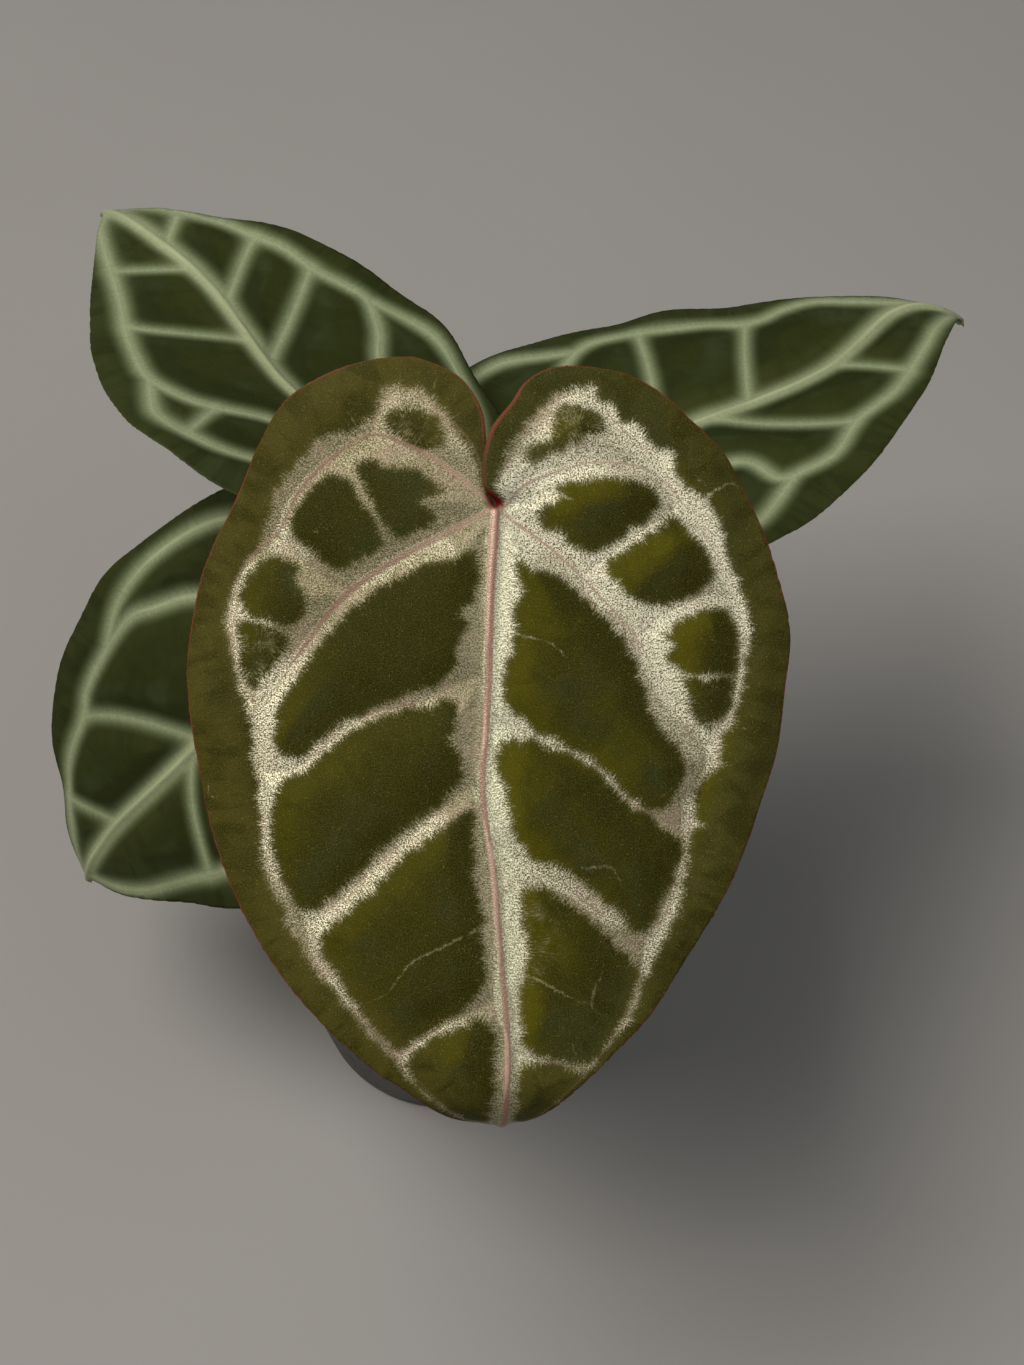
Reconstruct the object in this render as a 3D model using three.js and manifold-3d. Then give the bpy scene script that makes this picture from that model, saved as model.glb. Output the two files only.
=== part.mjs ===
// A potted anthurium with four heart-shaped, pale-veined leaves on long stalks, in a round nursery pot.
// Millimetres, +Z up. The origin is the middle of the pot's underside and the youngest leaf faces -Y.
import * as THREE from "three";
import { mergeVertices } from "three/addons/utils/BufferGeometryUtils.js";
import Module from "manifold-3d";

const wasm = await Module();
wasm.setup();

// Driving dimensions
const GAP = 0.3; // clearance between pieces that touch
const POT = {
  height: 92,
  baseRadius: 38,
  collarZ: 80, // where the straight collar under the lip starts
  collarRadius: 51,
  rimRadius: 52.5,
  wall: 1.3,
  floor: 1.8,
  sides: 42,
  drainRing: 25, // radius of the ring of drain holes
  drainRadius: 3.5,
  drains: 6,
};
const SOIL = { top: 83, rings: 6, sides: 28, lump: 2.6, crown: 1.2, chips: 32, chipLength: 10.5, seed: 7 };
const CROWN = { foot: 66, top: 101, radius: 8.5, ringDepth: 0.5, rings: 4, sides: 10, seed: 21 };
const ROOT = { count: 6, radius: 1.7, tip: 1.2, least: 15, spread: 6 }; // how far out each one runs
const SCALE = { count: 4, width: 3.2, flatness: 0.42, least: 15, spread: 8 }; // how tall each one stands
const BLADE = {
  thickness: 0.8,
  quilt: 1.4, // how far the blade swells between its veins
  quiltReach: 5.5, // distance from a vein at which most of the swelling is reached
  wave: 0.7, // height of the waves along the margin
  waveReach: 9, // how far in from the margin the waves run
  outlineStep: 3.4,
  sinusStep: 1.6,
  veinStep: 6.2,
  fillStep: 7.8,
};
// Veins by rank: half the width, height above the blade, and height below it
const RANK = {
  midrib: { half: 1.5, above: 0.5, below: 0.9 },
  main: { half: 1.2, above: 0.15, below: 0.7 },
  side: { half: 1.0, above: 0.1, below: 0.5 },
};
const STALK = { footRadius: 2.9, radius: 1.8, kneeRadius: 2.3, steps: 18, sides: 10, sunk: 9 };
const COLOUR = {
  young: 0x3c3c16,
  mature: 0x27382a,
  stalk: 0x5d6b3a,
  redStalk: 0x7a4434,
  crown: 0x5a4a34,
  soil: 0x3a2a1e,
  pot: 0x16120f,
};

// Each leaf lies on a flat pattern: x across, y along, the stalk at (0, 0) and the tip at y = -length.
// Its place says where (0, 0) sits, where the midrib points (azimuth, droop, in degrees) and how the
// blade bends from there: bend and hook along the midrib, roll and twist about it, and fold and curl
// of the left and the right half.
const FRONT = {
  name: "front",
  length: 148,
  place: {
    at: [16.6, -1, 232], azimuth: -90, droop: 35, bend: 0, hook: 140, hookAt: 0.8, lobeDroop: 5,
    roll: 0, twist: 0, sweep: 0, fold: [4, 4], curl: [8, 8],
  },
  // The right lobe's inner margin lies over the left one
  lap: { rise: 2.3, shift: 2.6, reach: 7, from: 2, to: 24 },
  left: [
    [0, 0], [-1.4, 2], [-2, 6], [-1.9, 14], [-3, 21], [-7.5, 27.5], [-15, 31.5], [-19.5, 32.5], [-28, 31.5],
    [-36.5, 28.5], [-45, 23], [-51, 13.5], [-56, 2], [-61.5, -8.5], [-64.5, -17], [-66.5, -30], [-66, -40],
    [-64.5, -52.5], [-62, -66], [-56.5, -80.5], [-49.5, -93], [-39, -106], [-28, -116.5], [-18, -124.5],
    [-10, -131.5], [-4.5, -138], [-2, -143], [0, -148],
  ],
  right: [
    [0, 0], [0.3, 2], [-0.1, 6], [0.1, 10], [1.2, 15], [3.2, 21], [6, 26], [11.5, 29.5], [19.5, 30],
    [28, 28.5], [35.5, 24.5], [42.5, 18.5], [49, 12.5], [53, 5.5], [57.5, -4], [60.5, -14], [63, -23],
    [63.5, -30], [62.5, -38], [61, -49.5], [59, -57], [55.5, -66.5], [50.5, -78], [45.5, -87.5], [39.5, -97],
    [32.5, -107], [25, -114.5], [17.5, -122], [10.5, -129.5], [5, -137], [2, -143], [0, -148],
  ],
  veins: {
    midrib: [
      [[0, -1], [-1, -19.5], [-1.5, -40], [-2.5, -59], [-0.5, -75.5], [1, -92.5], [2.5, -111], [2, -128],
        [0, -145]],
    ],
    main: [
      [[0, 0], [-11.5, -6], [-22, -11.5], [-32, -18.5], [-39.5, -27.5], [-47, -38], [-50, -43], [-50.5, -53],
        [-50, -63.5], [-47.5, -74], [-43.5, -83.5], [-38.5, -92], [-33, -101], [-26.5, -108.5], [-20, -116],
        [-11, -126], [-3, -137]],
      [[0, 0], [-9.5, 8], [-18, 13], [-26.5, 15.5], [-35, 10.5], [-41.5, 4], [-46, -4.5], [-53.5, -11.5],
        [-56.5, -21], [-55.5, -32], [-51.5, -40.5]],
      [[1, -1], [6, -4.5], [11.5, -8.5], [17, -13.5], [23, -19.5], [28.5, -25.5], [32, -31], [35.5, -38.5],
        [40, -46], [45.5, -52.5], [43.5, -58], [41.5, -64.5], [40.5, -71.5], [38.5, -79], [35.5, -86],
        [32.5, -93], [28, -105], [21, -116], [12, -126], [4, -137]],
      [[2, 0], [8.5, 5.5], [14.5, 8], [20, 9.5], [25.5, 9.5], [31.5, 8.5], [36, 5.5], [43.5, -4], [49, -13.5],
        [52.5, -24], [53, -31], [51, -43], [45.5, -50]],
    ],
    side: [
      [[-1.5, 3], [-4.5, 12.5], [-9.5, 18.5], [-14.5, 22], [-20, 25.5], [-24, 22], [-26, 16]],
      [[2, 4], [4.5, 10], [8, 18.5], [11.5, 22], [17, 24], [21, 23], [26.5, 17], [34.5, 10]],
      [[-46.5, -5.5], [-42.5, -9.5], [-32.5, -17]],
      [[38, 0.5], [34.5, -2], [26.5, -7.5], [19, -13.5]],
      [[51, -18], [45, -18], [40, -20], [34.5, -22.5], [31, -26]],
      [[-3, -35], [-10.5, -38], [-15.5, -40.5], [-26, -43], [-32.5, -47], [-41.5, -54], [-49, -55.5]],
      [[-4.5, -57.5], [-11, -62.5], [-17, -68], [-24, -74], [-30, -79.5], [-39, -87.5]],
      [[-4, -88], [-9.5, -91], [-17, -95], [-23, -102], [-29.5, -104.5]],
      [[-1.5, -103.5], [-8, -106.5], [-14, -110], [-20.5, -115]],
      [[-1.5, -44], [3.5, -45.5], [10, -48.5], [20.5, -53.5], [28.5, -61.5], [38.5, -67]],
      [[-1, -69], [3.5, -72], [8.5, -75.5], [14.5, -79], [20, -83.5], [25, -88], [31, -93]],
      [[2, -95], [5.5, -97], [10.5, -99], [20, -104.5], [24.5, -107.5]],
      [[3.5, -113], [8.5, -115], [19, -117.5]],
    ],
  },
};
const BACK_LEFT = {
  name: "back_left",
  length: 129.6,
  place: {
    at: [-8.7, 31.9, 202.6], azimuth: 125, droop: 0, bend: 0, hook: 47, hookAt: 0.84, lobeDroop: 10,
    roll: 28, twist: -33, sweep: 8, fold: [-1, -8], curl: [-1, 15.5],
  },
  left: [
    [0, 0], [-1, 5], [-1.5, 9], [-4, 16], [-10, 23], [-19, 26.5], [-29, 24], [-38, 16], [-43.5, 4],
    [-46, -12], [-47.5, -30], [-48, -41], [-46, -52], [-41, -66], [-35, -78.5], [-27.5, -90], [-18.5, -101],
    [-9, -111], [-3.5, -118], [-1, -124], [0, -129.6],
  ],
  right: [
    [0, 0], [1, 5], [1.5, 9], [4, 16], [9, 22], [17, 26], [26, 24], [35, 17], [41.5, 6], [45.5, -6],
    [47.8, -17.5], [48.2, -30], [46, -46.5], [40, -66], [30, -84.5], [20, -99], [11, -111], [5, -118.5],
    [1.5, -124], [0, -129.6],
  ],
  veins: {
    midrib: [
      [[0, -1], [2.5, -20], [4.2, -38], [3, -50], [0.8, -62], [-1.5, -76], [-2, -90], [-1, -104], [0, -115],
        [0, -127]],
    ],
    main: [
      [[0, -1], [8, -13], [17.5, -25.5], [27, -33.5], [31.5, -41], [33.7, -52], [31, -62.5], [27, -73],
        [21, -85], [15, -99], [9, -112], [2, -122]],
      [[0, 0], [8, 3], [18, 2], [27, -6], [35.5, -15], [39.5, -25], [41, -33], [40, -40], [34, -51]],
      [[0, -1], [-9, -13], [-18, -27], [-25, -40], [-30, -47], [-34, -57], [-32, -63], [-28, -71],
        [-25.5, -81], [-21.5, -89], [-18.5, -97.5], [-11, -108], [-3, -120]],
      [[0, 0], [-9, 4], [-19, 3], [-30, -5], [-38, -14], [-42, -25], [-43.4, -38], [-41, -46], [-35, -56]],
    ],
    side: [
      [[1, 2], [6, 12], [12, 18], [19, 18], [25, 13], [28, 4], [27, -6]],
      [[-1, 2], [-6, 12], [-12, 18], [-20, 19], [-27, 14], [-30, 5], [-30, -5]],
      [[39, -26.6], [32, -30.7], [27, -33.5]],
      [[2, -56.5], [12, -62.5], [20, -68.5], [25.5, -74]],
      [[-1.5, -88], [6, -91.5], [15.5, -97]],
      [[-1.5, -72], [-14, -82.7], [-22, -88.5]],
      [[0.5, -49], [-11.5, -59], [-27.5, -72.5]],
      [[-1.7, -99], [-10, -105.5]],
    ],
  },
};
const BACK_RIGHT = {
  name: "back_right",
  length: 146.5,
  place: {
    at: [20.2, 50.9, 173.1], azimuth: 28.5, droop: -0.5, bend: -1.5, hook: 65, hookAt: 0.84, lobeDroop: 10,
    roll: -4, twist: -9, sweep: 2, fold: [-4, -3.5], curl: [5, 9.5],
  },
  left: [
    [0, 0], [-1, 5.5], [-1.7, 10], [-4, 18], [-10, 25], [-20, 28.5], [-30, 26], [-39, 18], [-45, 7],
    [-48.5, -7], [-49.8, -22], [-49.3, -38], [-47.5, -52.5], [-43.5, -71], [-36, -89], [-25, -107],
    [-14.5, -121], [-6.5, -131], [-2, -138.5], [0, -146.5],
  ],
  right: [
    [0, 0], [1, 5.5], [1.7, 10], [4, 18], [10, 25], [20, 28.5], [31, 25], [40.5, 16], [46.5, 4], [49.2, -10],
    [50.4, -25], [50.2, -41], [45.3, -62], [38, -83], [29, -102], [19, -117], [9, -128.5], [3.5, -135],
    [1.5, -140], [0, -146.5],
  ],
  veins: {
    midrib: [
      [[0, -1], [0.6, -25], [-0.6, -53], [-2, -66], [-3, -78], [-3, -87], [-1.8, -96], [1.3, -105],
        [4.8, -114], [6.5, -121], [5.5, -129], [2, -137], [0, -143]],
    ],
    main: [
      [[0, -1], [10, -12], [21, -22], [32, -31], [40, -41], [41.5, -49], [39, -58.7], [35, -68.6],
        [31, -77.6], [26, -85], [24.6, -91], [25, -98], [23, -107], [17, -115], [9, -125], [2, -137]],
      [[0, 0], [10, 4], [22, 3], [34, -3], [43, -10], [46, -19], [45, -28], [40.5, -41]],
      [[0, -1], [-8, -16], [-14, -34], [-18.3, -50], [-22, -56], [-31, -58.5], [-32.3, -66], [-31.5, -75],
        [-25, -86], [-23, -94], [-20.5, -102], [-11, -118], [-6, -125.5], [-1, -136]],
      [[0, 0], [-10, 4], [-22, 3], [-34, -5], [-41, -17], [-43, -32], [-41, -45], [-37, -54], [-32.3, -62]],
    ],
    side: [
      [[1, 2], [6, 12], [12, 19], [20, 20], [28, 15], [32, 6], [34, -3]],
      [[-1, 2], [-6, 12], [-12, 19], [-20, 20], [-28, 15], [-32, 6], [-34, -5]],
      [[-1.5, -69], [13, -77.5], [25, -85.5]],
      [[0, -43], [16.6, -51], [28.2, -56], [38, -59.5]],
      [[-2.8, -96], [-9.8, -103], [-17, -108.5]],
      [[-1, -57.5], [-10, -65.5], [-18.2, -75.5], [-24.5, -85]],
    ],
  },
};
const LEFT = {
  name: "left",
  length: 119.9,
  place: {
    at: [-28.9, 26.7, 147.5], azimuth: 198.5, droop: 32, bend: 31.5, hook: 37, hookAt: 0.84, lobeDroop: 11,
    roll: -18.5, twist: -9, sweep: -6, fold: [-5, -0.5], curl: [6, 15.5],
  },
  left: [
    [0, 0], [-1, 5], [-1.7, 9], [-4, 16], [-10, 23], [-20, 26.5], [-31, 23.5], [-41, 14], [-47.5, 1.5],
    [-49.8, -11], [-51, -27], [-50.5, -44], [-46.7, -60], [-39.5, -75], [-29.5, -87], [-18.2, -97],
    [-8.5, -105.5], [-3, -111], [-1, -115], [0, -119.9],
  ],
  right: [
    [0, 0], [1, 5], [1.7, 9], [4, 15], [9, 20.5], [17, 22], [26, 19], [36, 11.5], [44, 0.5], [49, -14],
    [51.5, -30], [50.5, -46], [46, -60], [38.5, -71.5], [27, -88], [14, -104], [6, -111], [2, -115.5],
    [0, -119.9],
  ],
  veins: {
    midrib: [
      [[0, -1], [1.5, -25], [2.8, -48], [3, -64], [2.5, -75], [1.8, -87], [2, -97], [2, -108], [0.3, -117]],
    ],
    main: [
      [[0, -1], [-12, -8], [-22, -16], [-29.7, -24.4], [-34, -35.3], [-36.7, -44], [-34, -57.8], [-30.5, -68],
        [-26.4, -73], [-23.5, -81.6], [-20, -89.5], [-15, -96], [-8, -103], [-1, -112]],
      [[0, 0], [-12, 4], [-26, 5], [-36, 0], [-41.2, -6], [-44, -14], [-45.3, -24], [-45, -34], [-42, -45],
        [-35.5, -54]],
      [[0, -1], [8, -7], [18, -16], [28, -28], [34, -40], [35, -52], [32.3, -62.5], [29, -70.6],
        [25.2, -80.5], [21.2, -90.2], [16.3, -97.8], [9, -106], [1, -113]],
      [[0, 0], [12, 4], [24, 4], [34, -1], [41, -12], [44, -26], [43, -40], [38, -52], [33, -61]],
    ],
    side: [
      [[-1, 2], [-6, 11], [-12, 17], [-19, 18.5], [-27, 15], [-31, 9], [-32, 2]],
      [[1, 2], [6, 10], [11, 15], [18, 16], [24, 12], [27, 4]],
      [[1, -45], [-6.6, -51.5], [-12.7, -57], [-20, -64.5], [-26.4, -73]],
      [[1.5, -85], [-7, -91], [-15, -96]],
      [[2.5, -48], [9.5, -54.5], [17, -59.5], [30, -66]],
    ],
  },
};
// The way of each stalk from the crown (first point) to behind its blade, where it turns in to the seat
const STALKS = {
  front: {
    foot: [5, -4.5],
    via: [[7.5, -5.5, 112], [10.5, -4, 150], [14.5, 3, 196]],
    reach: 14,
    colour: COLOUR.redStalk,
  },
  back_left: {
    foot: [0, 5.5],
    via: [[3, 6.5, 114], [5, 5, 148], [4.5, 7, 176], [-1.5, 17, 192]],
    reach: 5,
    colour: COLOUR.stalk,
  },
  back_right: {
    foot: [6, 2],
    via: [[11, 8, 113], [16, 20, 138], [18.5, 36, 158]],
    reach: 9,
    colour: COLOUR.stalk,
  },
  left: {
    foot: [-4.5, 0],
    via: [[-8, 4, 106], [-15, 14, 121], [-23, 24.5, 133]],
    reach: 5,
    colour: COLOUR.stalk,
  },
};

// Small helpers
const radians = THREE.MathUtils.degToRad;
const vec = (list) => new THREE.Vector3(...list);

function smoothstep(from, to, value) {
  const t = THREE.MathUtils.clamp((value - from) / (to - from), 0, 1);
  return t * t * (3 - 2 * t);
}

// A repeatable random source: the same seed gives the same numbers in 0..1
function seeded(seed) {
  let state = seed;
  return () => {
    state = (state * 1664525 + 1013904223) % 4294967296;
    return state / 4294967296;
  };
}

function solidOf(geometry) {
  const bare = geometry.clone();
  bare.deleteAttribute("normal");
  bare.deleteAttribute("uv");
  const merged = mergeVertices(bare, 1e-4);
  return new wasm.Manifold(
    new wasm.Mesh({
      numProp: 3,
      vertProperties: merged.attributes.position.array,
      triVerts: new Uint32Array(merged.index.array),
    }),
  );
}

function geometryOf(solid) {
  const mesh = solid.getMesh();
  return new THREE.BufferGeometry()
    .setAttribute("position", new THREE.BufferAttribute(new Float32Array(mesh.vertProperties), 3))
    .setIndex(new THREE.BufferAttribute(new Uint32Array(mesh.triVerts), 1));
}

function geometryFrom(points, faces) {
  return new THREE.BufferGeometry().setFromPoints(points).setIndex(faces.flat());
}

function meshOf(name, geometry, color, roughness) {
  geometry.computeVertexNormals();
  const mesh = new THREE.Mesh(geometry, new THREE.MeshStandardMaterial({ color, roughness, metalness: 0 }));
  mesh.name = name;
  return mesh;
}

// A tapering limb: rings of points along a curve, closed at both ends. Grown, it is that much larger.
function limb(points, radiusAt, steps, sides, grown = 0, flatness = 1) {
  const path = new THREE.CatmullRomCurve3(points, false, "centripetal");
  const frames = path.computeFrenetFrames(steps, false);
  const at = [];
  const faces = [];
  for (let i = 0; i <= steps; i += 1) {
    const end = i === 0 ? -grown : i === steps ? grown : 0;
    const centre = path.getPointAt(i / steps).addScaledVector(frames.tangents[i], end);
    const radius = radiusAt(i / steps);
    const [wide, thick] = [radius + grown, radius * flatness + grown];
    for (let j = 0; j < sides; j += 1) {
      const angle = (2 * Math.PI * j) / sides;
      at.push(
        centre
          .clone()
          .addScaledVector(frames.normals[i], wide * Math.cos(angle))
          .addScaledVector(frames.binormals[i], thick * Math.sin(angle)),
      );
    }
  }
  const first = at.push(points[0].clone().addScaledVector(frames.tangents[0], -grown)) - 1;
  const last = at.push(points[points.length - 1].clone().addScaledVector(frames.tangents[steps], grown)) - 1;
  for (let j = 0; j < sides; j += 1) {
    const k = (j + 1) % sides;
    const end = steps * sides;
    faces.push([first, k, j], [last, end + j, end + k]);
    for (let i = 0; i < steps; i += 1) {
      const low = i * sides;
      const high = low + sides;
      faces.push([low + j, low + k, high + k], [low + j, high + k, high + j]);
    }
  }
  return geometryFrom(at, faces);
}

// Flat geometry of a leaf's pattern
function sampled(points, step) {
  const curve = new THREE.SplineCurve(points.map(([x, y]) => new THREE.Vector2(x, y)));
  return curve.getSpacedPoints(Math.max(1, Math.round(curve.getLength() / step)));
}

function distanceToLine(point, line) {
  let best = Infinity;
  for (let i = 0; i + 1 < line.length; i += 1) {
    const a = line[i];
    const b = line[i + 1];
    const dx = b.x - a.x;
    const dy = b.y - a.y;
    const along = ((point.x - a.x) * dx + (point.y - a.y) * dy) / (dx * dx + dy * dy);
    const t = THREE.MathUtils.clamp(along, 0, 1);
    best = Math.min(best, Math.hypot(point.x - a.x - t * dx, point.y - a.y - t * dy));
  }
  return best;
}

function inside(point, outline) {
  let odd = false;
  outline.forEach((a, i) => {
    const b = outline[(i + 1) % outline.length];
    const crosses = a.y > point.y !== b.y > point.y;
    if (crosses && point.x < ((b.x - a.x) * (point.y - a.y)) / (b.y - a.y) + a.x) odd = !odd;
  });
  return odd;
}

// Delaunay triangles of a set of points, each counter-clockwise
function delaunay(points) {
  const far = 1e4;
  const all = [...points, { x: -far, y: -far }, { x: far, y: -far }, { x: 0, y: far }];
  const n = points.length;
  const withCircle = (a, b, c) => {
    const [p, q, r] = [all[a], all[b], all[c]];
    const d = 2 * (p.x * (q.y - r.y) + q.x * (r.y - p.y) + r.x * (p.y - q.y));
    const [pp, qq, rr] = [p, q, r].map((v) => v.x * v.x + v.y * v.y);
    const x = (pp * (q.y - r.y) + qq * (r.y - p.y) + rr * (p.y - q.y)) / d;
    const y = (pp * (r.x - q.x) + qq * (p.x - r.x) + rr * (q.x - p.x)) / d;
    return { a, b, c, x, y, reach: (p.x - x) ** 2 + (p.y - y) ** 2 };
  };
  let triangles = [withCircle(n, n + 1, n + 2)];
  for (let i = 0; i < n; i += 1) {
    const { x, y } = all[i];
    const edges = new Map();
    const kept = [];
    for (const t of triangles) {
      if ((t.x - x) ** 2 + (t.y - y) ** 2 >= t.reach) {
        kept.push(t);
        continue;
      }
      for (const [from, to] of [[t.a, t.b], [t.b, t.c], [t.c, t.a]]) {
        if (!edges.delete(`${to} ${from}`)) edges.set(`${from} ${to}`, [from, to]);
      }
    }
    for (const [from, to] of edges.values()) kept.push(withCircle(from, to, i));
    triangles = kept;
  }
  return triangles.filter((t) => t.a < n && t.b < n && t.c < n).map((t) => [t.a, t.b, t.c]);
}

// The outline round the leaf counter-clockwise, finer along the sinus, and the number of its points
function outlineOf(leaf) {
  const half = (points) => {
    const sinus = points.findIndex(([, y]) => y > 20);
    const inner = sampled(points.slice(0, sinus + 1), BLADE.sinusStep);
    const outer = sampled(points.slice(sinus), BLADE.outlineStep);
    return [...inner, ...outer.slice(1)];
  };
  const left = half(leaf.left);
  const right = half(leaf.right).reverse();
  return [...left, ...right.slice(1, -1)];
}

function veinLines(leaf) {
  return Object.entries(leaf.veins).flatMap(([rank, lines]) =>
    lines.map((points) => ({ ...RANK[rank], line: sampled(points, BLADE.veinStep) })),
  );
}

// Points of the pattern: the outline, the veins' crests and feet, then a loose hexagonal fill
function patternPoints(outline, veins) {
  const closed = [...outline, outline[0]];
  const inner = [];
  const clear = (p, gap) => inner.every((q) => Math.hypot(p.x - q.x, p.y - q.y) > gap);
  const add = (p, gap, edge) => {
    if (inside(p, outline) && distanceToLine(p, closed) > edge && clear(p, gap)) inner.push(p);
  };
  for (const { line } of veins) line.forEach((p) => add(p, 1.2, 1));
  for (const vein of veins) {
    const { line, half } = vein;
    const others = veins.filter((v) => v !== vein);
    line.forEach((p, i) => {
      const a = line[Math.max(0, i - 1)];
      const b = line[Math.min(line.length - 1, i + 1)];
      const across = new THREE.Vector2(a.y - b.y, b.x - a.x).normalize();
      for (const side of [-1, 1]) {
        const foot = p.clone().addScaledVector(across, side * half);
        if (others.every((v) => distanceToLine(foot, v.line) > v.half)) add(foot, 0.9, 0.9);
      }
    });
  }
  const rowStep = BLADE.fillStep * Math.sqrt(0.75);
  for (let row = -30; row < 10; row += 1) {
    for (let column = -12; column <= 12; column += 1) {
      const shift = row % 2 === 0 ? 0 : 0.5;
      const p = new THREE.Vector2((column + shift) * BLADE.fillStep + 0.37, row * rowStep + 0.21);
      add(p, 0.5 * BLADE.fillStep, 0.4 * BLADE.fillStep);
    }
  }
  return inner;
}

// Triangles that fill the outline. An outline edge that they miss is halved until they all show.
function triangulated(leaf, veins) {
  let outline = outlineOf(leaf);
  const inner = patternPoints(outline, veins);
  for (;;) {
    const points = [...outline, ...inner];
    const faces = delaunay(points).filter(([a, b, c]) => {
      const middle = points[a].clone().add(points[b]).add(points[c]).divideScalar(3);
      return inside(middle, outline);
    });
    const edges = new Set(faces.flatMap(([a, b, c]) => [`${a} ${b}`, `${b} ${c}`, `${c} ${a}`]));
    const halved = outline.flatMap((p, i) => {
      const j = (i + 1) % outline.length;
      const shown = edges.has(`${i} ${j}`) || edges.has(`${j} ${i}`);
      return shown ? [p] : [p, p.clone().add(outline[j]).multiplyScalar(0.5)];
    });
    if (halved.length === outline.length) return { points, faces, border: outline.length };
    outline = halved;
  }
}

// The curved midrib: a frame every step along y, from above the lobes to the tip
function spineOf({ length, place }) {
  const step = 0.5;
  const above = 40;
  const frames = [];
  const at = new THREE.Vector3();
  for (let s = -above; s <= length + step; s += step) {
    const t = Math.max(0, s / length);
    const hook = THREE.MathUtils.clamp((s / length - place.hookAt) / (1 - place.hookAt), 0, 1);
    const pitch = place.droop + place.bend * t + place.hook * hook + (place.lobeDroop * Math.min(s, 0)) / 30;
    const phi = radians(pitch);
    const azimuth = radians(place.azimuth + place.sweep * t);
    const roll = radians(place.roll + place.twist * t);
    const ahead = new THREE.Vector3(Math.cos(azimuth), Math.sin(azimuth), 0);
    const along = ahead.clone().multiplyScalar(Math.cos(phi)).setZ(-Math.sin(phi));
    const up = ahead.clone().multiplyScalar(Math.sin(phi)).setZ(Math.cos(phi)).applyAxisAngle(along, roll);
    const across = new THREE.Vector3(-ahead.y, ahead.x, 0).applyAxisAngle(along, roll);
    frames.push({ at: at.clone(), up, across });
    at.addScaledVector(along, step);
  }
  const origin = frames[above / step].at.clone();
  frames.forEach((frame) => frame.at.sub(origin).add(vec(place.at)));
  return (s) => {
    const index = THREE.MathUtils.clamp((s + above) / step, 0, frames.length - 1.001);
    const low = frames[Math.floor(index)];
    const high = frames[Math.floor(index) + 1];
    const t = index - Math.floor(index);
    return {
      at: low.at.clone().lerp(high.at, t),
      up: low.up.clone().lerp(high.up, t),
      across: low.across.clone().lerp(high.across, t),
    };
  };
}

// A pattern point on the bent blade's middle surface. The lap lifts one lobe's margin over the other.
function bladeMap(leaf) {
  const spine = spineOf(leaf);
  const { fold, curl } = leaf.place;
  const lapOf = ({ x, y }) => {
    if (!leaf.lap || x < -1) return { shift: 0, rise: 0 };
    const { rise, shift, reach, from, to } = leaf.lap;
    const along = smoothstep(from, from + 4, y) * (1 - smoothstep(to - 9, to, y));
    const amount = along * Math.exp(-((x / reach) ** 2));
    return { shift: shift * amount, rise: rise * amount };
  };
  const middle = (p) => {
    const lap = lapOf(p);
    const x = p.x - lap.shift;
    const side = x < 0 ? 0 : 1;
    const start = radians(fold[side]);
    const rate = radians(curl[side]) / 60 + 1e-6;
    const angle = start + rate * Math.abs(x);
    const out = (Math.sign(x) * (Math.sin(angle) - Math.sin(start))) / rate;
    const lift = (Math.cos(angle) - Math.cos(start)) / rate + lap.rise;
    const frame = spine(-p.y);
    return frame.at.addScaledVector(frame.across, out).addScaledVector(frame.up, lift);
  };
  return (p, offset) => {
    const e = 0.4;
    const across = middle({ x: p.x + e, y: p.y }).sub(middle({ x: p.x - e, y: p.y }));
    const along = middle({ x: p.x, y: p.y + e }).sub(middle({ x: p.x, y: p.y - e }));
    return middle(p).addScaledVector(across.cross(along).normalize(), offset);
  };
}

// How far the blade swells at a pattern point, and how high the veins stand there above and below it
function reliefAt(p, veins, border) {
  let nearest = Infinity;
  let above = 0;
  let below = 0;
  for (const vein of veins) {
    const distance = distanceToLine(p, vein.line);
    const share = Math.max(0, 1 - distance / vein.half);
    nearest = Math.min(nearest, distance);
    above = Math.max(above, vein.above * share);
    below = Math.max(below, vein.below * share);
  }
  const edge = distanceToLine(p, border);
  const round = Math.atan2(p.x, -p.y - 45);
  const waves = Math.sin(7 * round + 0.6) + 0.6 * Math.sin(12 * round + 2.1);
  const swell = BLADE.quilt * (1 - Math.exp(-((nearest / BLADE.quiltReach) ** 2)));
  const wave = BLADE.wave * waves * (1 - smoothstep(0, BLADE.waveReach, edge));
  return { lift: swell * smoothstep(0, 7, edge) + wave * smoothstep(8, 20, Math.abs(p.x)), above, below };
}

function bladeGeometry(leaf) {
  const veins = veinLines(leaf);
  const { points, faces, border } = triangulated(leaf, veins);
  const outline = points.slice(0, border);
  const map = bladeMap(leaf);
  const half = BLADE.thickness / 2;
  const reliefs = points.map((p) => reliefAt(p, veins, [...outline, outline[0]]));
  const top = points.map((p, i) => map(p, reliefs[i].lift + half + reliefs[i].above));
  const under = points.map((p, i) => map(p, reliefs[i].lift - half - reliefs[i].below));
  const n = points.length;
  const all = faces.flatMap(([a, b, c]) => [[a, b, c], [n + a, n + c, n + b]]);
  for (let i = 0; i < border; i += 1) {
    const j = (i + 1) % border;
    all.push([i, n + i, n + j], [i, n + j, j]);
  }
  return geometryFrom([...top, ...under], all);
}

// The stalk's seat under the blade: just below the place where the veins meet
function seatOf(leaf) {
  const map = bladeMap(leaf);
  const p = { x: 0, y: -2.6 };
  const drop = BLADE.thickness / 2 + RANK.midrib.below + GAP;
  const seat = map(p, -drop - 0.1);
  const below = map(p, -drop - 1.1).sub(seat);
  return { seat, below };
}

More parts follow.
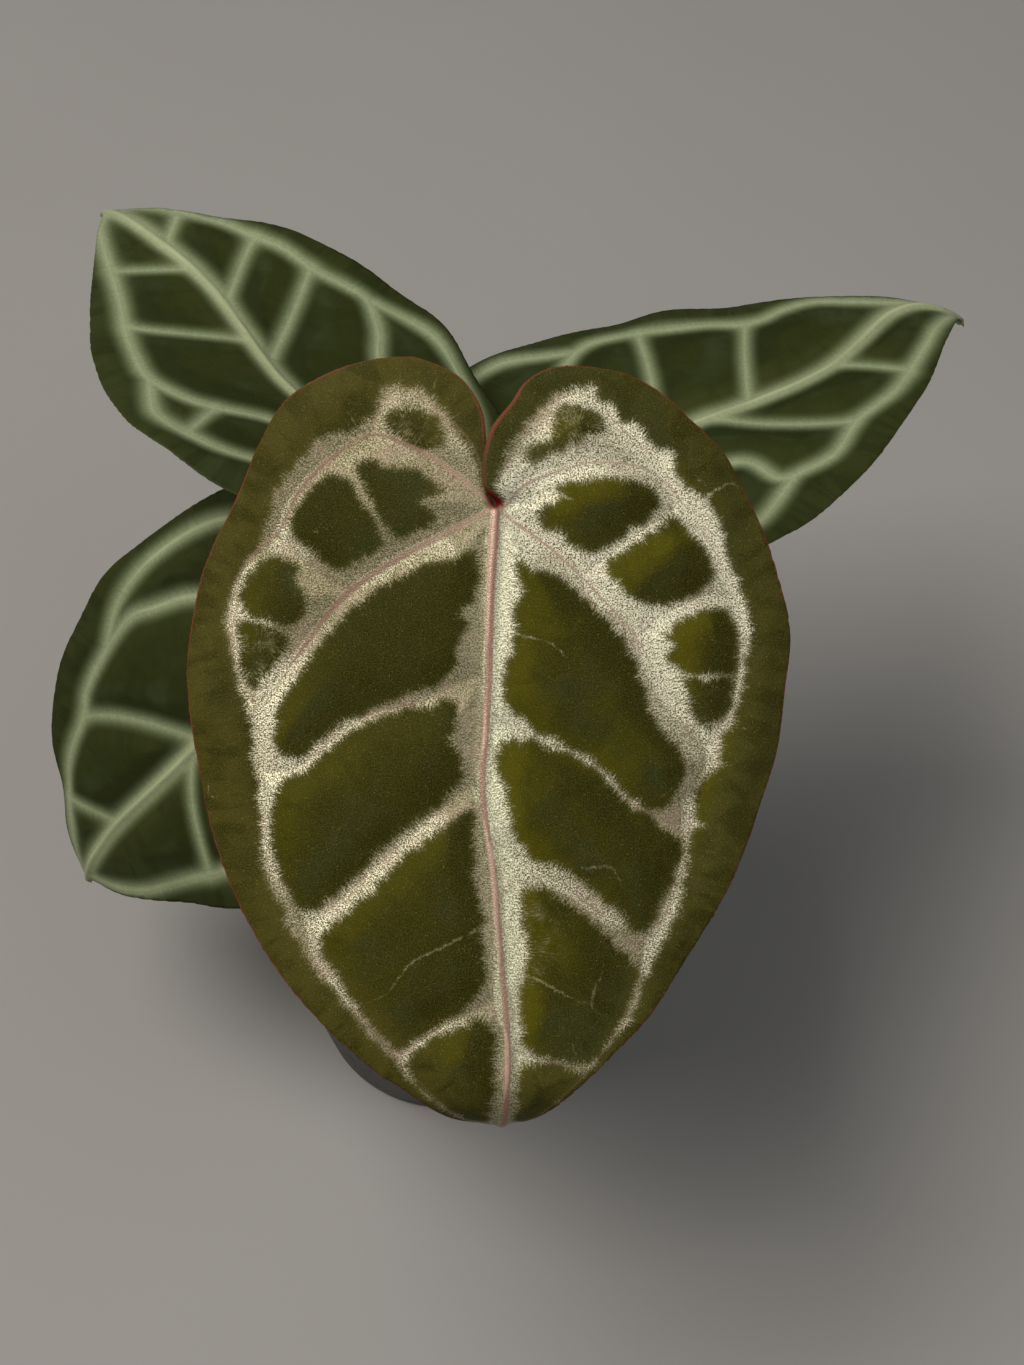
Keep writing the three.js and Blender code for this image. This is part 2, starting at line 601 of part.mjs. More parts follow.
function stalkPath(leaf) {
  const { foot, via, reach } = STALKS[leaf.name];
  const { seat, below } = seatOf(leaf);
  const start = vec([...foot, CROWN.top - STALK.sunk]);
  const turn = seat.clone().addScaledVector(below, reach);
  const entry = seat.clone().addScaledVector(below, reach / 3);
  return [start, ...via.map(vec), turn, entry, seat];
}

// Thick at the sheathed foot, slender above, with a knee just under the blade
function stalkRadius(t) {
  const foot = STALK.footRadius * Math.exp(-t * 9);
  const knee = smoothstep(0.84, 0.91, t) * (1 - 0.5 * smoothstep(0.965, 1, t));
  const thicker = foot * (1 - STALK.radius / STALK.footRadius);
  return STALK.radius + thicker + (STALK.kneeRadius - STALK.radius) * knee;
}

function stalkGeometry(leaf, grown = 0) {
  return limb(stalkPath(leaf), stalkRadius, STALK.steps, STALK.sides, grown);
}

// The crown: a short ringed stem with papery scale leaves and a few roots that reach the soil
function crownSolid(grown) {
  const height = CROWN.top - CROWN.foot;
  const ringed = (t) => {
    const taper = CROWN.radius * (0.72 + 0.28 * Math.sin(Math.PI * (0.15 + 0.7 * t)));
    return taper + CROWN.ringDepth * Math.sin(2 * Math.PI * CROWN.rings * t);
  };
  const stem = limb(
    [vec([0, 0, CROWN.foot]), vec([0.4, 0.2, CROWN.foot + height / 2]), vec([1, 0.6, CROWN.top])],
    ringed, 12, CROWN.sides, grown,
  );
  let solid = solidOf(stem);
  const random = seeded(CROWN.seed);
  for (let i = 0; i < ROOT.count; i += 1) {
    const angle = (2 * Math.PI * (i + 0.5 * random())) / ROOT.count;
    const out = new THREE.Vector3(Math.cos(angle), Math.sin(angle), 0);
    const reach = ROOT.least + ROOT.spread * random();
    const root = [
      out.clone().multiplyScalar(4).setZ(CROWN.top - 11 - 3 * random()),
      out.clone().multiplyScalar(10.5).setZ(CROWN.top - 12),
      out.clone().multiplyScalar(reach).setZ(SOIL.top + 1.5),
      out.clone().multiplyScalar(reach + 1).setZ(SOIL.top - 9),
    ];
    const radius = (t) => THREE.MathUtils.lerp(ROOT.radius, ROOT.tip, t);
    solid = solid.add(solidOf(limb(root, radius, 7, 6, grown)));
  }
  for (let i = 0; i < SCALE.count; i += 1) {
    const angle = 0.9 + (2 * Math.PI * i) / SCALE.count;
    const out = new THREE.Vector3(Math.cos(angle), Math.sin(angle), 0);
    const tall = SCALE.least + SCALE.spread * random();
    const scale = [
      out.clone().multiplyScalar(6).setZ(CROWN.top - 14),
      out.clone().multiplyScalar(8.6).setZ(CROWN.top - 4),
      out.clone().multiplyScalar(10).setZ(CROWN.top + tall * 0.45),
      out.clone().multiplyScalar(13.5).setZ(CROWN.top + tall),
    ];
    const width = (t) => SCALE.width * Math.sqrt(Math.max(0.02, 1 - t));
    solid = solid.add(solidOf(limb(scale, width, 7, 6, grown, SCALE.flatness)));
  }
  return solid;
}

// The soil fills the pot under a lumpy top, with bark chips half sunk in it
function soilSolid() {
  const random = seeded(SOIL.seed);
  const wallRadius = (z) => innerRadius(z) - GAP;
  const bottom = POT.floor + GAP;
  const at = [new THREE.Vector3(0, 0, SOIL.top + 1)];
  const faces = [];
  for (let ring = 1; ring <= SOIL.rings; ring += 1) {
    for (let j = 0; j < SOIL.sides; j += 1) {
      const angle = (2 * Math.PI * (j + (ring % 2) / 2)) / SOIL.sides;
      const edge = ring === SOIL.rings;
      const lump = edge ? -1.5 : SOIL.lump * (random() - 0.5);
      const z = SOIL.top + lump + SOIL.crown * (1 - ring / SOIL.rings);
      const r = edge ? wallRadius(z) : (wallRadius(SOIL.top) * ring) / SOIL.rings;
      at.push(new THREE.Vector3(r * Math.cos(angle), r * Math.sin(angle), z));
    }
  }
  const ringStart = (ring) => 1 + (ring - 1) * SOIL.sides;
  for (let j = 0; j < SOIL.sides; j += 1) {
    const next = (j + 1) % SOIL.sides;
    faces.push([0, ringStart(1) + j, ringStart(1) + next]);
    for (let ring = 1; ring < SOIL.rings; ring += 1) {
      const inner = ringStart(ring);
      const outer = ringStart(ring + 1);
      const [near, ahead] = ring % 2 === 1 ? [j, next] : [(j + SOIL.sides - 1) % SOIL.sides, j];
      faces.push([inner + j, outer + near, outer + ahead]);
      faces.push([inner + j, outer + ahead, inner + next]);
    }
  }
  const rim = ringStart(SOIL.rings);
  const foot = at.length;
  for (let j = 0; j < SOIL.sides; j += 1) {
    const p = at[rim + j];
    const r = wallRadius(bottom);
    const angle = Math.atan2(p.y, p.x);
    at.push(new THREE.Vector3(r * Math.cos(angle), r * Math.sin(angle), bottom));
  }
  const centre = at.push(new THREE.Vector3(0, 0, bottom)) - 1;
  for (let j = 0; j < SOIL.sides; j += 1) {
    const next = (j + 1) % SOIL.sides;
    faces.push([rim + j, foot + j, foot + next], [rim + j, foot + next, rim + next]);
    faces.push([centre, foot + next, foot + j]);
  }
  let solid = solidOf(geometryFrom(at, faces));
  for (let i = 0; i < SOIL.chips; i += 1) {
    const far = (wallRadius(SOIL.top) - SOIL.chipLength) * Math.sqrt((i + 0.5) / SOIL.chips);
    const angle = i * 2.39996;
    const size = SOIL.chipLength * (0.7 + 0.6 * random());
    const chip = new THREE.BoxGeometry(size, size * (0.5 + 0.3 * random()), size * (0.3 + 0.2 * random()));
    const turn = new THREE.Euler(0.9 * random() - 0.45, 0.9 * random() - 0.45, 6.3 * random());
    chip.applyMatrix4(new THREE.Matrix4().makeRotationFromEuler(turn));
    chip.translate(far * Math.cos(angle), far * Math.sin(angle), SOIL.top + 0.9 * random());
    solid = solid.add(solidOf(chip));
  }
  return solid;
}

// Inner radius of the pot at a height
function innerRadius(z) {
  const outside = THREE.MathUtils.mapLinear(z, 0, POT.collarZ, POT.baseRadius, POT.collarRadius - 1.8);
  return Math.min(outside, POT.collarRadius - 1.8) - POT.wall;
}

function potSolid() {
  const { height, baseRadius, collarZ, collarRadius, rimRadius, wall, floor } = POT;
  const mouth = collarRadius - wall;
  const profile = [
    [0, 0], [baseRadius - 1.5, 0], [baseRadius, 1.5], [collarRadius - 1.8, collarZ],
    [collarRadius, collarZ + 1.5], [collarRadius, height - 3], [rimRadius, height - 2.4],
    [rimRadius, height - 0.6], [rimRadius - 0.6, height], [mouth, height], [mouth - 0.6, height - 0.6],
    [mouth - 0.6, collarZ + 2.2], [innerRadius(collarZ), collarZ], [innerRadius(floor), floor], [0, floor],
  ].map(([r, z]) => new THREE.Vector2(r, z));
  let solid = solidOf(new THREE.LatheGeometry(profile, POT.sides).rotateX(Math.PI / 2));
  for (let i = 0; i < POT.drains; i += 1) {
    const angle = (2 * Math.PI * i) / POT.drains;
    const hole = new THREE.CylinderGeometry(POT.drainRadius, POT.drainRadius, 3 * floor, 12);
    hole.rotateX(Math.PI / 2);
    hole.translate(POT.drainRing * Math.cos(angle), POT.drainRing * Math.sin(angle), floor / 2);
    solid = solid.subtract(solidOf(hole));
  }
  return solid;
}

// The plant in its pot
const plant = new THREE.Group();
const leaves = [FRONT, BACK_LEFT, BACK_RIGHT, LEFT];
let crown = crownSolid(0);
for (const leaf of leaves) {
  const green = leaf === FRONT ? COLOUR.young : COLOUR.mature;
  plant.add(meshOf(`blade_${leaf.name}`, bladeGeometry(leaf), green, 0.5));
  plant.add(meshOf(`petiole_${leaf.name}`, stalkGeometry(leaf), STALKS[leaf.name].colour, 0.5));
  crown = crown.subtract(solidOf(stalkGeometry(leaf, GAP)));
}
const soil = soilSolid().subtract(crownSolid(GAP));
plant.add(meshOf("crown", geometryOf(crown), COLOUR.crown, 0.8));
plant.add(meshOf("soil", geometryOf(soil), COLOUR.soil, 0.95));
plant.add(meshOf("pot", geometryOf(potSolid()), COLOUR.pot, 0.45));

export default plant;
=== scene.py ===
import math
import random

import bpy
import numpy as np
from mathutils import Euler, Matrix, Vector, geometry


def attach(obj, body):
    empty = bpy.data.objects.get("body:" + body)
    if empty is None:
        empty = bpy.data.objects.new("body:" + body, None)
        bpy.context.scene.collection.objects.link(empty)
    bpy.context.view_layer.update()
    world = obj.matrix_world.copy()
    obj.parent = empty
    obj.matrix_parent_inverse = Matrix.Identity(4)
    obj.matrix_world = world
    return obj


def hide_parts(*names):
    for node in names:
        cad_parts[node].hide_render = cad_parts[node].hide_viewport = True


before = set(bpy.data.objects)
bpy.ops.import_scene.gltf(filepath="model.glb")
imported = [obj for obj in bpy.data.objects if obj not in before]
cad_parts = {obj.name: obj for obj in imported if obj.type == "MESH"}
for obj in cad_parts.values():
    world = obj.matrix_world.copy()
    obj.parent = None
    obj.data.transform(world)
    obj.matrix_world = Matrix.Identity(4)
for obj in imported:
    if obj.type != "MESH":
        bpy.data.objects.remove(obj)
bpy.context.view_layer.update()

MM = 0.001

# Camera and light: places and sizes in metres, powers in watts
CAMERA_PLACE = (0.0201, -0.2575, 0.5346)
CAMERA_TILT = 35
LENS = 50
SENSOR = 36
KEY_PLACE = (-0.64, -0.02, 1.6)
LAMPS = {
    "key": {"place": KEY_PLACE, "towards": (0.02, -0.02, 0.18), "size": (1.1, 0.9), "power": 25,
            "tint": (1.0, 0.97, 0.92)},
    "fill": {"place": (0.9, -0.5, 0.9), "towards": (0.02, 0, 0.15), "size": (1.0, 1.0), "power": 3.4,
             "tint": (0.9, 0.95, 1.0)},
}
SKY = (0.75, 0.76, 0.78, 1)
SKY_STRENGTH = 0.16


def set_camera():
    bpy.ops.object.camera_add(location=CAMERA_PLACE, rotation=(math.radians(CAMERA_TILT), 0, 0))
    camera = bpy.context.object
    camera.name = "camera"
    camera.data.lens = LENS
    camera.data.sensor_width = SENSOR
    camera.data.clip_start = 0.01
    bpy.context.scene.camera = camera


def soft_box(name, place, towards, size, power, tint):
    """A large soft lamp that faces a point."""
    facing = (Vector(towards) - Vector(place)).to_track_quat("-Z", "Y").to_euler()
    bpy.ops.object.light_add(type="AREA", location=place, rotation=facing)
    lamp = bpy.context.object
    lamp.name = name
    lamp.data.shape = "RECTANGLE"
    lamp.data.size, lamp.data.size_y = size
    lamp.data.energy = power
    lamp.data.color = tint


def light_studio():
    for name, lamp in LAMPS.items():
        soft_box(name, **lamp)
    world = bpy.data.worlds.new("studio")
    world.use_nodes = True
    sky = world.node_tree.nodes["Background"].inputs
    sky["Color"].default_value = SKY
    sky["Strength"].default_value = SKY_STRENGTH
    bpy.context.scene.world = world
    bpy.context.scene.view_settings.view_transform = "Standard"


# Finishes
def colour(code):
    """A colour written as on a paint card, in the linear values that materials use."""
    parts = [int(code[i : i + 2], 16) / 255 for i in (1, 3, 5)]
    return (*[p / 12.92 if p < 0.04045 else ((p + 0.055) / 1.055) ** 2.4 for p in parts], 1)


class Value:
    """A socket of a finish. Arithmetic on it adds Math nodes."""

    def __init__(self, finish, socket):
        self.finish = finish
        self.socket = socket

    def reckon(self, way, first, second):
        return self.finish.add("ShaderNodeMath", {"operation": way}, {0: first, 1: second})

    def __add__(self, other):
        return self.reckon("ADD", self, other)

    def __radd__(self, other):
        return self.reckon("ADD", other, self)

    def __sub__(self, other):
        return self.reckon("SUBTRACT", self, other)

    def __rsub__(self, other):
        return self.reckon("SUBTRACT", other, self)

    def __mul__(self, other):
        return self.reckon("MULTIPLY", self, other)

    def __rmul__(self, other):
        return self.reckon("MULTIPLY", other, self)

    def most(self, other):
        return self.reckon("MAXIMUM", self, other)

    def least(self, other):
        return self.reckon("MINIMUM", self, other)


class Finish:
    """A material in the making: its nodes are added one by one, then it is surfaced."""

    def __init__(self, name):
        self.material = bpy.data.materials.new(name)
        self.material.use_nodes = True
        self.tree = self.material.node_tree
        self.tree.nodes.clear()

    def add(self, kind, settings=None, sockets=None, out=0):
        """Adds a node with its settings and its sockets' values, colours or links, and gives an output."""
        node = self.tree.nodes.new(kind)
        for key, value in (settings or {}).items():
            setattr(node, key, value)
        for key, value in (sockets or {}).items():
            if isinstance(value, Value):
                self.tree.links.new(value.socket, node.inputs[key])
            else:
                node.inputs[key].default_value = colour(value) if isinstance(value, str) else value
        return Value(self, node.outputs[out]) if node.outputs else None

    def attribute(self, name, out="Fac"):
        return self.add("ShaderNodeAttribute", {"attribute_name": name}, out=out)

    def place(self):
        """The point of the surface, in millimetres."""
        point = self.add("ShaderNodeTexCoord", out="Object")
        return self.stretched(point, (1000, 1000, 1000))

    def stretched(self, vector, by):
        return self.add("ShaderNodeVectorMath", {"operation": "MULTIPLY"}, {0: vector, 1: by})

    def between(self, first, second, share):
        return self.add("ShaderNodeMix", {"data_type": "VECTOR"}, {0: share, 4: first, 5: second}, out=1)

    def away(self, vector, point):
        return self.add("ShaderNodeVectorMath", {"operation": "DISTANCE"}, {0: vector, 1: point}, out="Value")

    def noise(self, vector, scale, detail=2.0, roughness=0.5):
        sockets = {"Vector": vector, "Scale": scale, "Detail": detail, "Roughness": roughness}
        return self.add("ShaderNodeTexNoise", None, sockets)

    def net(self, vector, scale):
        """Distance to the nearest wall of a net of irregular cells."""
        settings = {"feature": "DISTANCE_TO_EDGE"}
        return self.add("ShaderNodeTexVoronoi", settings, {"Vector": vector, "Scale": scale})

    def specks(self, vector, scale):
        """Distance to the nearest of scattered points."""
        return self.add("ShaderNodeTexVoronoi", {"feature": "F1"}, {"Vector": vector, "Scale": scale})

    def rise(self, value, low, high):
        """0 below low and 1 above high, smooth between them."""
        settings = {"interpolation_type": "SMOOTHSTEP"}
        return self.add("ShaderNodeMapRange", settings, {0: value, 1: low, 2: high, 3: 0.0, 4: 1.0})

    def fall(self, value, low, high):
        """1 below low and 0 above high, smooth between them."""
        return 1 - self.rise(value, low, high)

    def near(self, vector, point, core, reach):
        """1 as near to a point as core and 0 beyond reach, smooth between them."""
        return self.fall(self.away(vector, point), core, reach)

    def mix(self, share, first, second):
        return self.add("ShaderNodeMix", {"data_type": "RGBA"}, {0: share, 6: first, 7: second}, out=2)

    def bump(self, height):
        """A bump whose height is given in millimetres."""
        return self.add("ShaderNodeBump", None, {"Distance": MM, "Height": height})

    def surface(self, sockets):
        shader = self.add("ShaderNodeBsdfPrincipled", None, sockets)
        self.add("ShaderNodeOutputMaterial", None, {"Surface": shader})
        return self.material

    def coat(self, base, roughness, height):
        """Surfaces the material with a colour, a roughness and a height in millimetres."""
        return self.surface({"Base Color": base, "Roughness": roughness, "Normal": self.bump(height)})


# Leaf patterns, in millimetres: x across, y along, the stalk at (0, 0) and the tip at y = -length.
# A place gives where the stalk meets the blade, where the midrib points, and how the blade bends.
FRONT = {
    "name": "front",
    "length": 148,
    "place": {
        "at": (16.6, -1, 232), "azimuth": -90, "droop": 35, "bend": 0, "hook": 140, "hook_at": 0.8,
        "lobe_droop": 5, "roll": 0, "twist": 0, "sweep": 0, "fold": (4, 4), "curl": (8, 8),
    },
    "lap": {"rise": 2.3, "shift": 2.6, "reach": 7, "from": 0.4, "to": 24},
    "left": [
        (0, 0), (-1.4, 2), (-2, 6), (-1.9, 14), (-3, 21), (-7.5, 27.5), (-15, 31.5), (-19.5, 32.5),
        (-28, 31.5), (-36.5, 28.5), (-45, 23), (-51, 13.5), (-56, 2), (-61.5, -8.5), (-64.5, -17),
        (-66.5, -30), (-66, -40), (-64.5, -52.5), (-62, -66), (-56.5, -80.5), (-49.5, -93), (-39, -106),
        (-28, -116.5), (-18, -124.5), (-10, -131.5), (-4.5, -138), (-2, -143), (0, -148),
    ],
    "right": [
        (0, 0), (0.3, 2), (-0.1, 6), (0.1, 10), (1.2, 15), (3.2, 21), (6, 26), (11.5, 29.5), (19.5, 30),
        (28, 28.5), (35.5, 24.5), (42.5, 18.5), (49, 12.5), (53, 5.5), (57.5, -4), (60.5, -14), (63, -23),
        (63.5, -30), (62.5, -38), (61, -49.5), (59, -57), (55.5, -66.5), (50.5, -78), (45.5, -87.5),
        (39.5, -97), (32.5, -107), (25, -114.5), (17.5, -122), (10.5, -129.5), (5, -137), (2, -143),
        (0, -148),
    ],
    "midrib": [
        [(0, -1), (-1, -19.5), (-1.5, -40), (-2.5, -59), (-0.5, -75.5), (1, -92.5), (2.5, -111),
         (2, -128), (0, -145)],
    ],
    "main": [
        [(0, 0), (-11.5, -6), (-22, -11.5), (-32, -18.5), (-39.5, -27.5), (-47, -38), (-50, -43),
         (-50.5, -53), (-50, -63.5), (-47.5, -74), (-43.5, -83.5), (-38.5, -92), (-33, -101),
         (-26.5, -108.5), (-20, -116), (-11, -126), (-3, -137)],
        [(0, 0), (-9.5, 8), (-18, 13), (-26.5, 15.5), (-35, 10.5), (-41.5, 4), (-46, -4.5), (-53.5, -11.5),
         (-56.5, -21), (-55.5, -32), (-51.5, -40.5)],
        [(1, -1), (6, -4.5), (11.5, -8.5), (17, -13.5), (23, -19.5), (28.5, -25.5), (32, -31), (35.5, -38.5),
         (40, -46), (45.5, -52.5), (43.5, -58), (41.5, -64.5), (40.5, -71.5), (38.5, -79), (35.5, -86),
         (32.5, -93), (28, -105), (21, -116), (12, -126), (4, -137)],
        [(2, 0), (8.5, 5.5), (14.5, 8), (20, 9.5), (25.5, 9.5), (31.5, 8.5), (36, 5.5), (43.5, -4),
         (49, -13.5), (52.5, -24), (53, -31), (51, -43), (45.5, -50)],
    ],
    "side": [
        [(-1.5, 3), (-4.5, 12.5), (-9.5, 18.5), (-14.5, 22), (-20, 25.5), (-24, 22), (-26, 16)],
        [(2, 4), (4.5, 10), (8, 18.5), (11.5, 22), (17, 24), (21, 23), (26.5, 17), (34.5, 10)],
        [(-46.5, -5.5), (-42.5, -9.5), (-32.5, -17)],
        [(38, 0.5), (34.5, -2), (26.5, -7.5), (19, -13.5)],
        [(51, -18), (45, -18), (40, -20), (34.5, -22.5), (31, -26)],
        [(-3, -35), (-10.5, -38), (-15.5, -40.5), (-26, -43), (-32.5, -47), (-41.5, -54), (-49, -55.5)],
        [(-4.5, -57.5), (-11, -62.5), (-17, -68), (-24, -74), (-30, -79.5), (-39, -87.5)],
        [(-1.5, -103.5), (-8, -106.5), (-14, -110), (-20.5, -115)],
        [(-1.5, -44), (3.5, -45.5), (10, -48.5), (20.5, -53.5), (28.5, -61.5), (38.5, -67)],
        [(-1, -69), (3.5, -72), (8.5, -75.5), (14.5, -79), (20, -83.5), (25, -88), (31, -93)],
        [(3.5, -113), (8.5, -115), (19, -117.5)],
    ],
    # How far the silver reaches to each side of these lateral veins, in their order
    "reach": [99, 99, 99, 1.5, 2.9, 2.1, 3.7, 99, 1.1, 3.6, 1.5],
    # Threads: half the width of each thin pale vein, and its line
    "threads": [
        (0.45, [(-31, 9), (-28.7, 5), (-27, 1), (-25, -2), (-24, -4.5), (-22, -9)]),
        (0.28, [(-55.5, -23), (-50, -23.5), (-45.5, -24.7), (-40, -24.5)]),
        (0.35, [(51.5, -35.3), (46, -35.4), (40, -35), (36, -35.5)]),
        (0.45, [(20, -104), (20.6, -100.5), (22, -98), (22.6, -95.5)]),
        (0.5, [(3, -26), (6.5, -27), (10, -27.8)]),
        (0.3, [(11.5, -28.5), (14.5, -31), (15.3, -34)]),
        (0.2, [(-26, -28.8), (-21.2, -27.5)]),
        (0.3, [(-38.2, -5), (-34.8, -4.2)]),
        (0.45, [(-4, -88), (-9.5, -91), (-17, -94.7), (-20, -98.3), (-23.3, -102), (-29.5, -104.5)]),
        (0.5, [(3, -96), (8, -98), (12.5, -100.5), (19, -104), (24.5, -107.5)]),
        (0.45, [(18, -75.5), (23.8, -75), (25.3, -77), (27, -80)]),
        (0.25, [(-38.5, -71.5), (-32.8, -68.6)]),
        (0.2, [(-42.5, -74), (-40.5, -73.8)]),
        (0.3, [(-62, -58.5), (-61.5, -60.8), (-58.5, -60.2)]),
        (0.5, [(45, 3), (47.5, 4.5), (50.5, 5.8), (52.5, 4.5)]),
        (0.3, [(34.8, -60.5), (37, -59), (39, -57)]),
        (0.3, [(-28, 16), (-30.5, 19.5), (-32, 22)]),
        (0.35, [(16, -112), (16.8, -114.5), (17, -116.5)]),
        (0.3, [(-20, 26), (-20.2, 30)]),
        (0.3, [(-13, 25), (-12, 28)]),
        (0.6, [(12, 1.6), (14, 2.3), (16.5, 1.3)]),
        (0.3, [(44, 5.5), (42, 7.3)]),
        (0.2, [(45, -27.5), (48, -28)]),
        (0.15, [(20, -64.5), (23, -65), (26, -64)]),
        (0.15, [(-61, -51.8), (-57.5, -50)]),
        (0.2, [(53.5, -6.5), (57, -6)]),
        (0.3, [(50.5, -46), (54, -46.5)]),
    ],
    # The silvered part lies inside the rim and outside the green cells
    "rim": [
        (-1.2, 1.5), (-1.7, 6), (-2.8, 9), (-4.6, 12.5), (-6.5, 15.5), (-8.5, 18.5), (-10.5, 21.5),
        (-13, 24.5), (-16, 26), (-20, 26.8), (-23.5, 26.5), (-25.3, 24), (-26.3, 20.5), (-28.5, 18.3),
        (-31, 17.2), (-34.5, 16.8), (-38.5, 15.3), (-40.5, 12.5), (-43.5, 9.5), (-46.3, 6), (-48, 2.5),
        (-48.6, -1), (-50.5, -4), (-52, -7.5), (-55, -10.8), (-56.8, -15), (-58.6, -19), (-59.4, -23),
        (-59, -27), (-58, -31), (-57, -35), (-55.8, -39), (-54.3, -43), (-53.4, -48), (-53.4, -53),
        (-52.6, -58), (-52, -64), (-51.4, -70), (-50.6, -75.5), (-49, -80), (-46.3, -84), (-45, -87.5),
        (-43, -91), (-41, -94.5), (-38.5, -98), (-35.5, -101.5), (-32, -105.5), (-28.5, -109.5),
        (-25, -113.3), (-21.5, -117), (-19, -120), (-15.5, -124), (-11, -128.5), (-6, -134.5),
        (-3.5, -140), (3, -141), (7, -133.5), (12.5, -127), (17, -121.5), (20.5, -118), (22.5, -115),
        (25.3, -112), (28.2, -109), (30, -105.5), (31.5, -103), (32, -99.5), (34, -96), (35.5, -93),
        (37.5, -89), (39.6, -84), (41, -79.5), (41.6, -75), (42.3, -71), (43.5, -68.6), (46.8, -67.8),
        (44.6, -65), (43.8, -61), (46, -57.5), (49.8, -54.6), (49.4, -52), (49.8, -49), (51.5, -46),
        (53, -42), (54.4, -37), (55, -32), (55.6, -27), (55.4, -22), (53.6, -18), (52.5, -14),
        (50.6, -10), (49.5, -6), (48.5, -2), (46.6, 1), (45.5, 3.5), (43.5, 3.6), (41, 4.6), (39.6, 7),
        (38.6, 10.5), (37.3, 13), (33.8, 14.6), (31.7, 16.5), (29.5, 18.6), (26.7, 19.6), (25.5, 22),
        (22.8, 23.2), (21, 26.6), (17, 26), (14, 25), (11, 23.8), (9.3, 21.6), (8, 19.6), (6, 17),
        (4, 13), (2.7, 9.5), (1.6, 5), (0.8, 1.5),
    ],
    # Green cells, each with how much silver is strewn over it
    "cells": [
        (0.6, [(-21.8, 20), (-18.5, 21), (-15, 20), (-12, 18.2), (-10.8, 15.5), (-11.8, 13), (-14.5, 11.8),
                (-17.5, 13), (-20.5, 15), (-22.5, 17.5)]),
        (0.0, [(-29.3, 7.5), (-28, 9.4), (-25.5, 10.2), (-23.5, 8.5), (-19, 8), (-15, 7), (-13.5, 5.2),
               (-10.6, 3.4), (-12.8, 2.3), (-15.3, 1.2), (-14, -0.3), (-12.5, -2), (-13.5, -4), (-17, -5.3),
               (-20.5, -6), (-22.3, -4.5), (-24.3, -2), (-25.6, 1), (-27.5, 4.5)]),
        (0.0, [(-32.5, 6.6), (-35, 7.2), (-37.5, 5.6), (-39.5, 3), (-41.2, 0.5), (-43.5, -1.8), (-43, -4.2),
               (-41, -7), (-38.5, -9.6), (-35.5, -11.3), (-32.5, -12.8), (-30, -11.6), (-27, -10.2),
               (-23.5, -8), (-24.3, -5), (-26, -2), (-27.8, 1), (-29.5, 4)]),
        (0.05, [(-44, -10.6), (-48, -10.4), (-51, -12), (-53.4, -15), (-54, -18.5), (-53.2, -21.8),
                (-50, -23), (-46, -24), (-43, -24), (-40, -22), (-40.5, -18), (-42.5, -15), (-42, -12)]),
        (0.5, [(-54, -24.2), (-50, -24.5), (-46.5, -25.6), (-44.5, -28), (-46, -31), (-49, -34), (-51.5, -37),
               (-54, -33.5), (-54.5, -28)]),
        (0.0, [(-4, -9), (-8, -10.3), (-12, -11.8), (-15, -12), (-18, -13.6), (-22, -15.5), (-25.5, -17.7),
               (-29, -20), (-31, -22), (-34.5, -26), (-37.5, -29.5), (-40.5, -34), (-43.3, -38), (-46, -42.5),
               (-46.4, -47), (-46, -50.8), (-43, -52.2), (-40, -50.8), (-37, -48), (-33, -45.4), (-29, -43.3),
               (-25, -41.4), (-20, -39.8), (-15, -37), (-12, -34.3), (-9.2, -30.5), (-7.2, -27), (-6, -24.5),
               (-6.6, -22), (-5, -20), (-4, -17.5), (-3.4, -14)]),
        (0.0, [(-8, -43.5), (-12, -41.9), (-16, -41.6), (-20, -42.9), (-25, -44.6), (-30, -47.3),
               (-34, -50.2), (-37.5, -53.6), (-40, -56), (-44, -57.2), (-46, -60), (-47, -65),
               (-47.2, -70), (-45.6, -76), (-43, -81), (-41, -84), (-38, -83.4), (-34, -80.6), (-30, -77),
               (-26, -72.7), (-22, -69), (-17, -65.4), (-13, -62.4), (-9.6, -59.5), (-7, -56.4),
               (-7.6, -52), (-9, -48)]),
        (0.0, [(-5, -64), (-8, -65.8), (-12, -68.5), (-15, -71.2), (-18.5, -73), (-21.5, -76.6),
               (-25, -80.2), (-28.2, -83), (-30.6, -85.4), (-34, -87.8), (-36, -90),
               (-36, -93), (-33.5, -96.5), (-31.3, -99.8), (-29.5, -103), (-27.5, -105.7), (-25, -108.5),
               (-22.5, -111), (-20, -112.4), (-16, -110), (-12, -107.8), (-8.5, -105.3), (-5.5, -103),
               (-3.5, -100), (-2.6, -95), (-3.5, -90), (-3, -86), (-4.5, -80), (-5, -74), (-4.6, -68)]),
        (0.0, [(-3, -107.8), (-8, -109.6), (-12, -111.3), (-15, -113.5), (-18, -116.2), (-17.4, -119),
               (-14, -123), (-9, -127.5), (-5, -131), (-2.6, -130), (-1, -122), (-0.8, -115), (-1, -110.5)]),
        (0.5, [(13, 20), (16, 21.5), (19, 21), (22, 19), (23, 17), (21.5, 15.4), (19, 15.2), (16.5, 13.6),
               (13.5, 12.2), (10.5, 10.5), (8, 9.6), (8.6, 12), (11, 14), (12, 15.6), (12.5, 17.5)]),
        (0.0, [(12.6, 3.6), (15, 5), (19, 5.8), (24, 6), (29, 6), (33, 4.6), (34.5, 2), (33.6, -0.6),
               (31, -3), (28, -5), (25, -7.6), (22, -8.6), (18, -9), (15.5, -8), (14.5, -6), (11, -4.6),
               (8.6, -2.5), (9.6, 0), (12.3, 0.8), (13.5, 2)]),
        (0.0, [(37, -1.6), (39.5, -3), (42, -5.5), (44.2, -8.5), (46, -12), (45.4, -15), (43, -17.3),
               (40, -18.5), (37, -20), (34, -20.4), (31, -19.4), (28, -18), (25.4, -15.5), (23.2, -12.5),
               (24.8, -10), (27.5, -8.6), (30.5, -8), (32.5, -6), (34.7, -3.5)]),
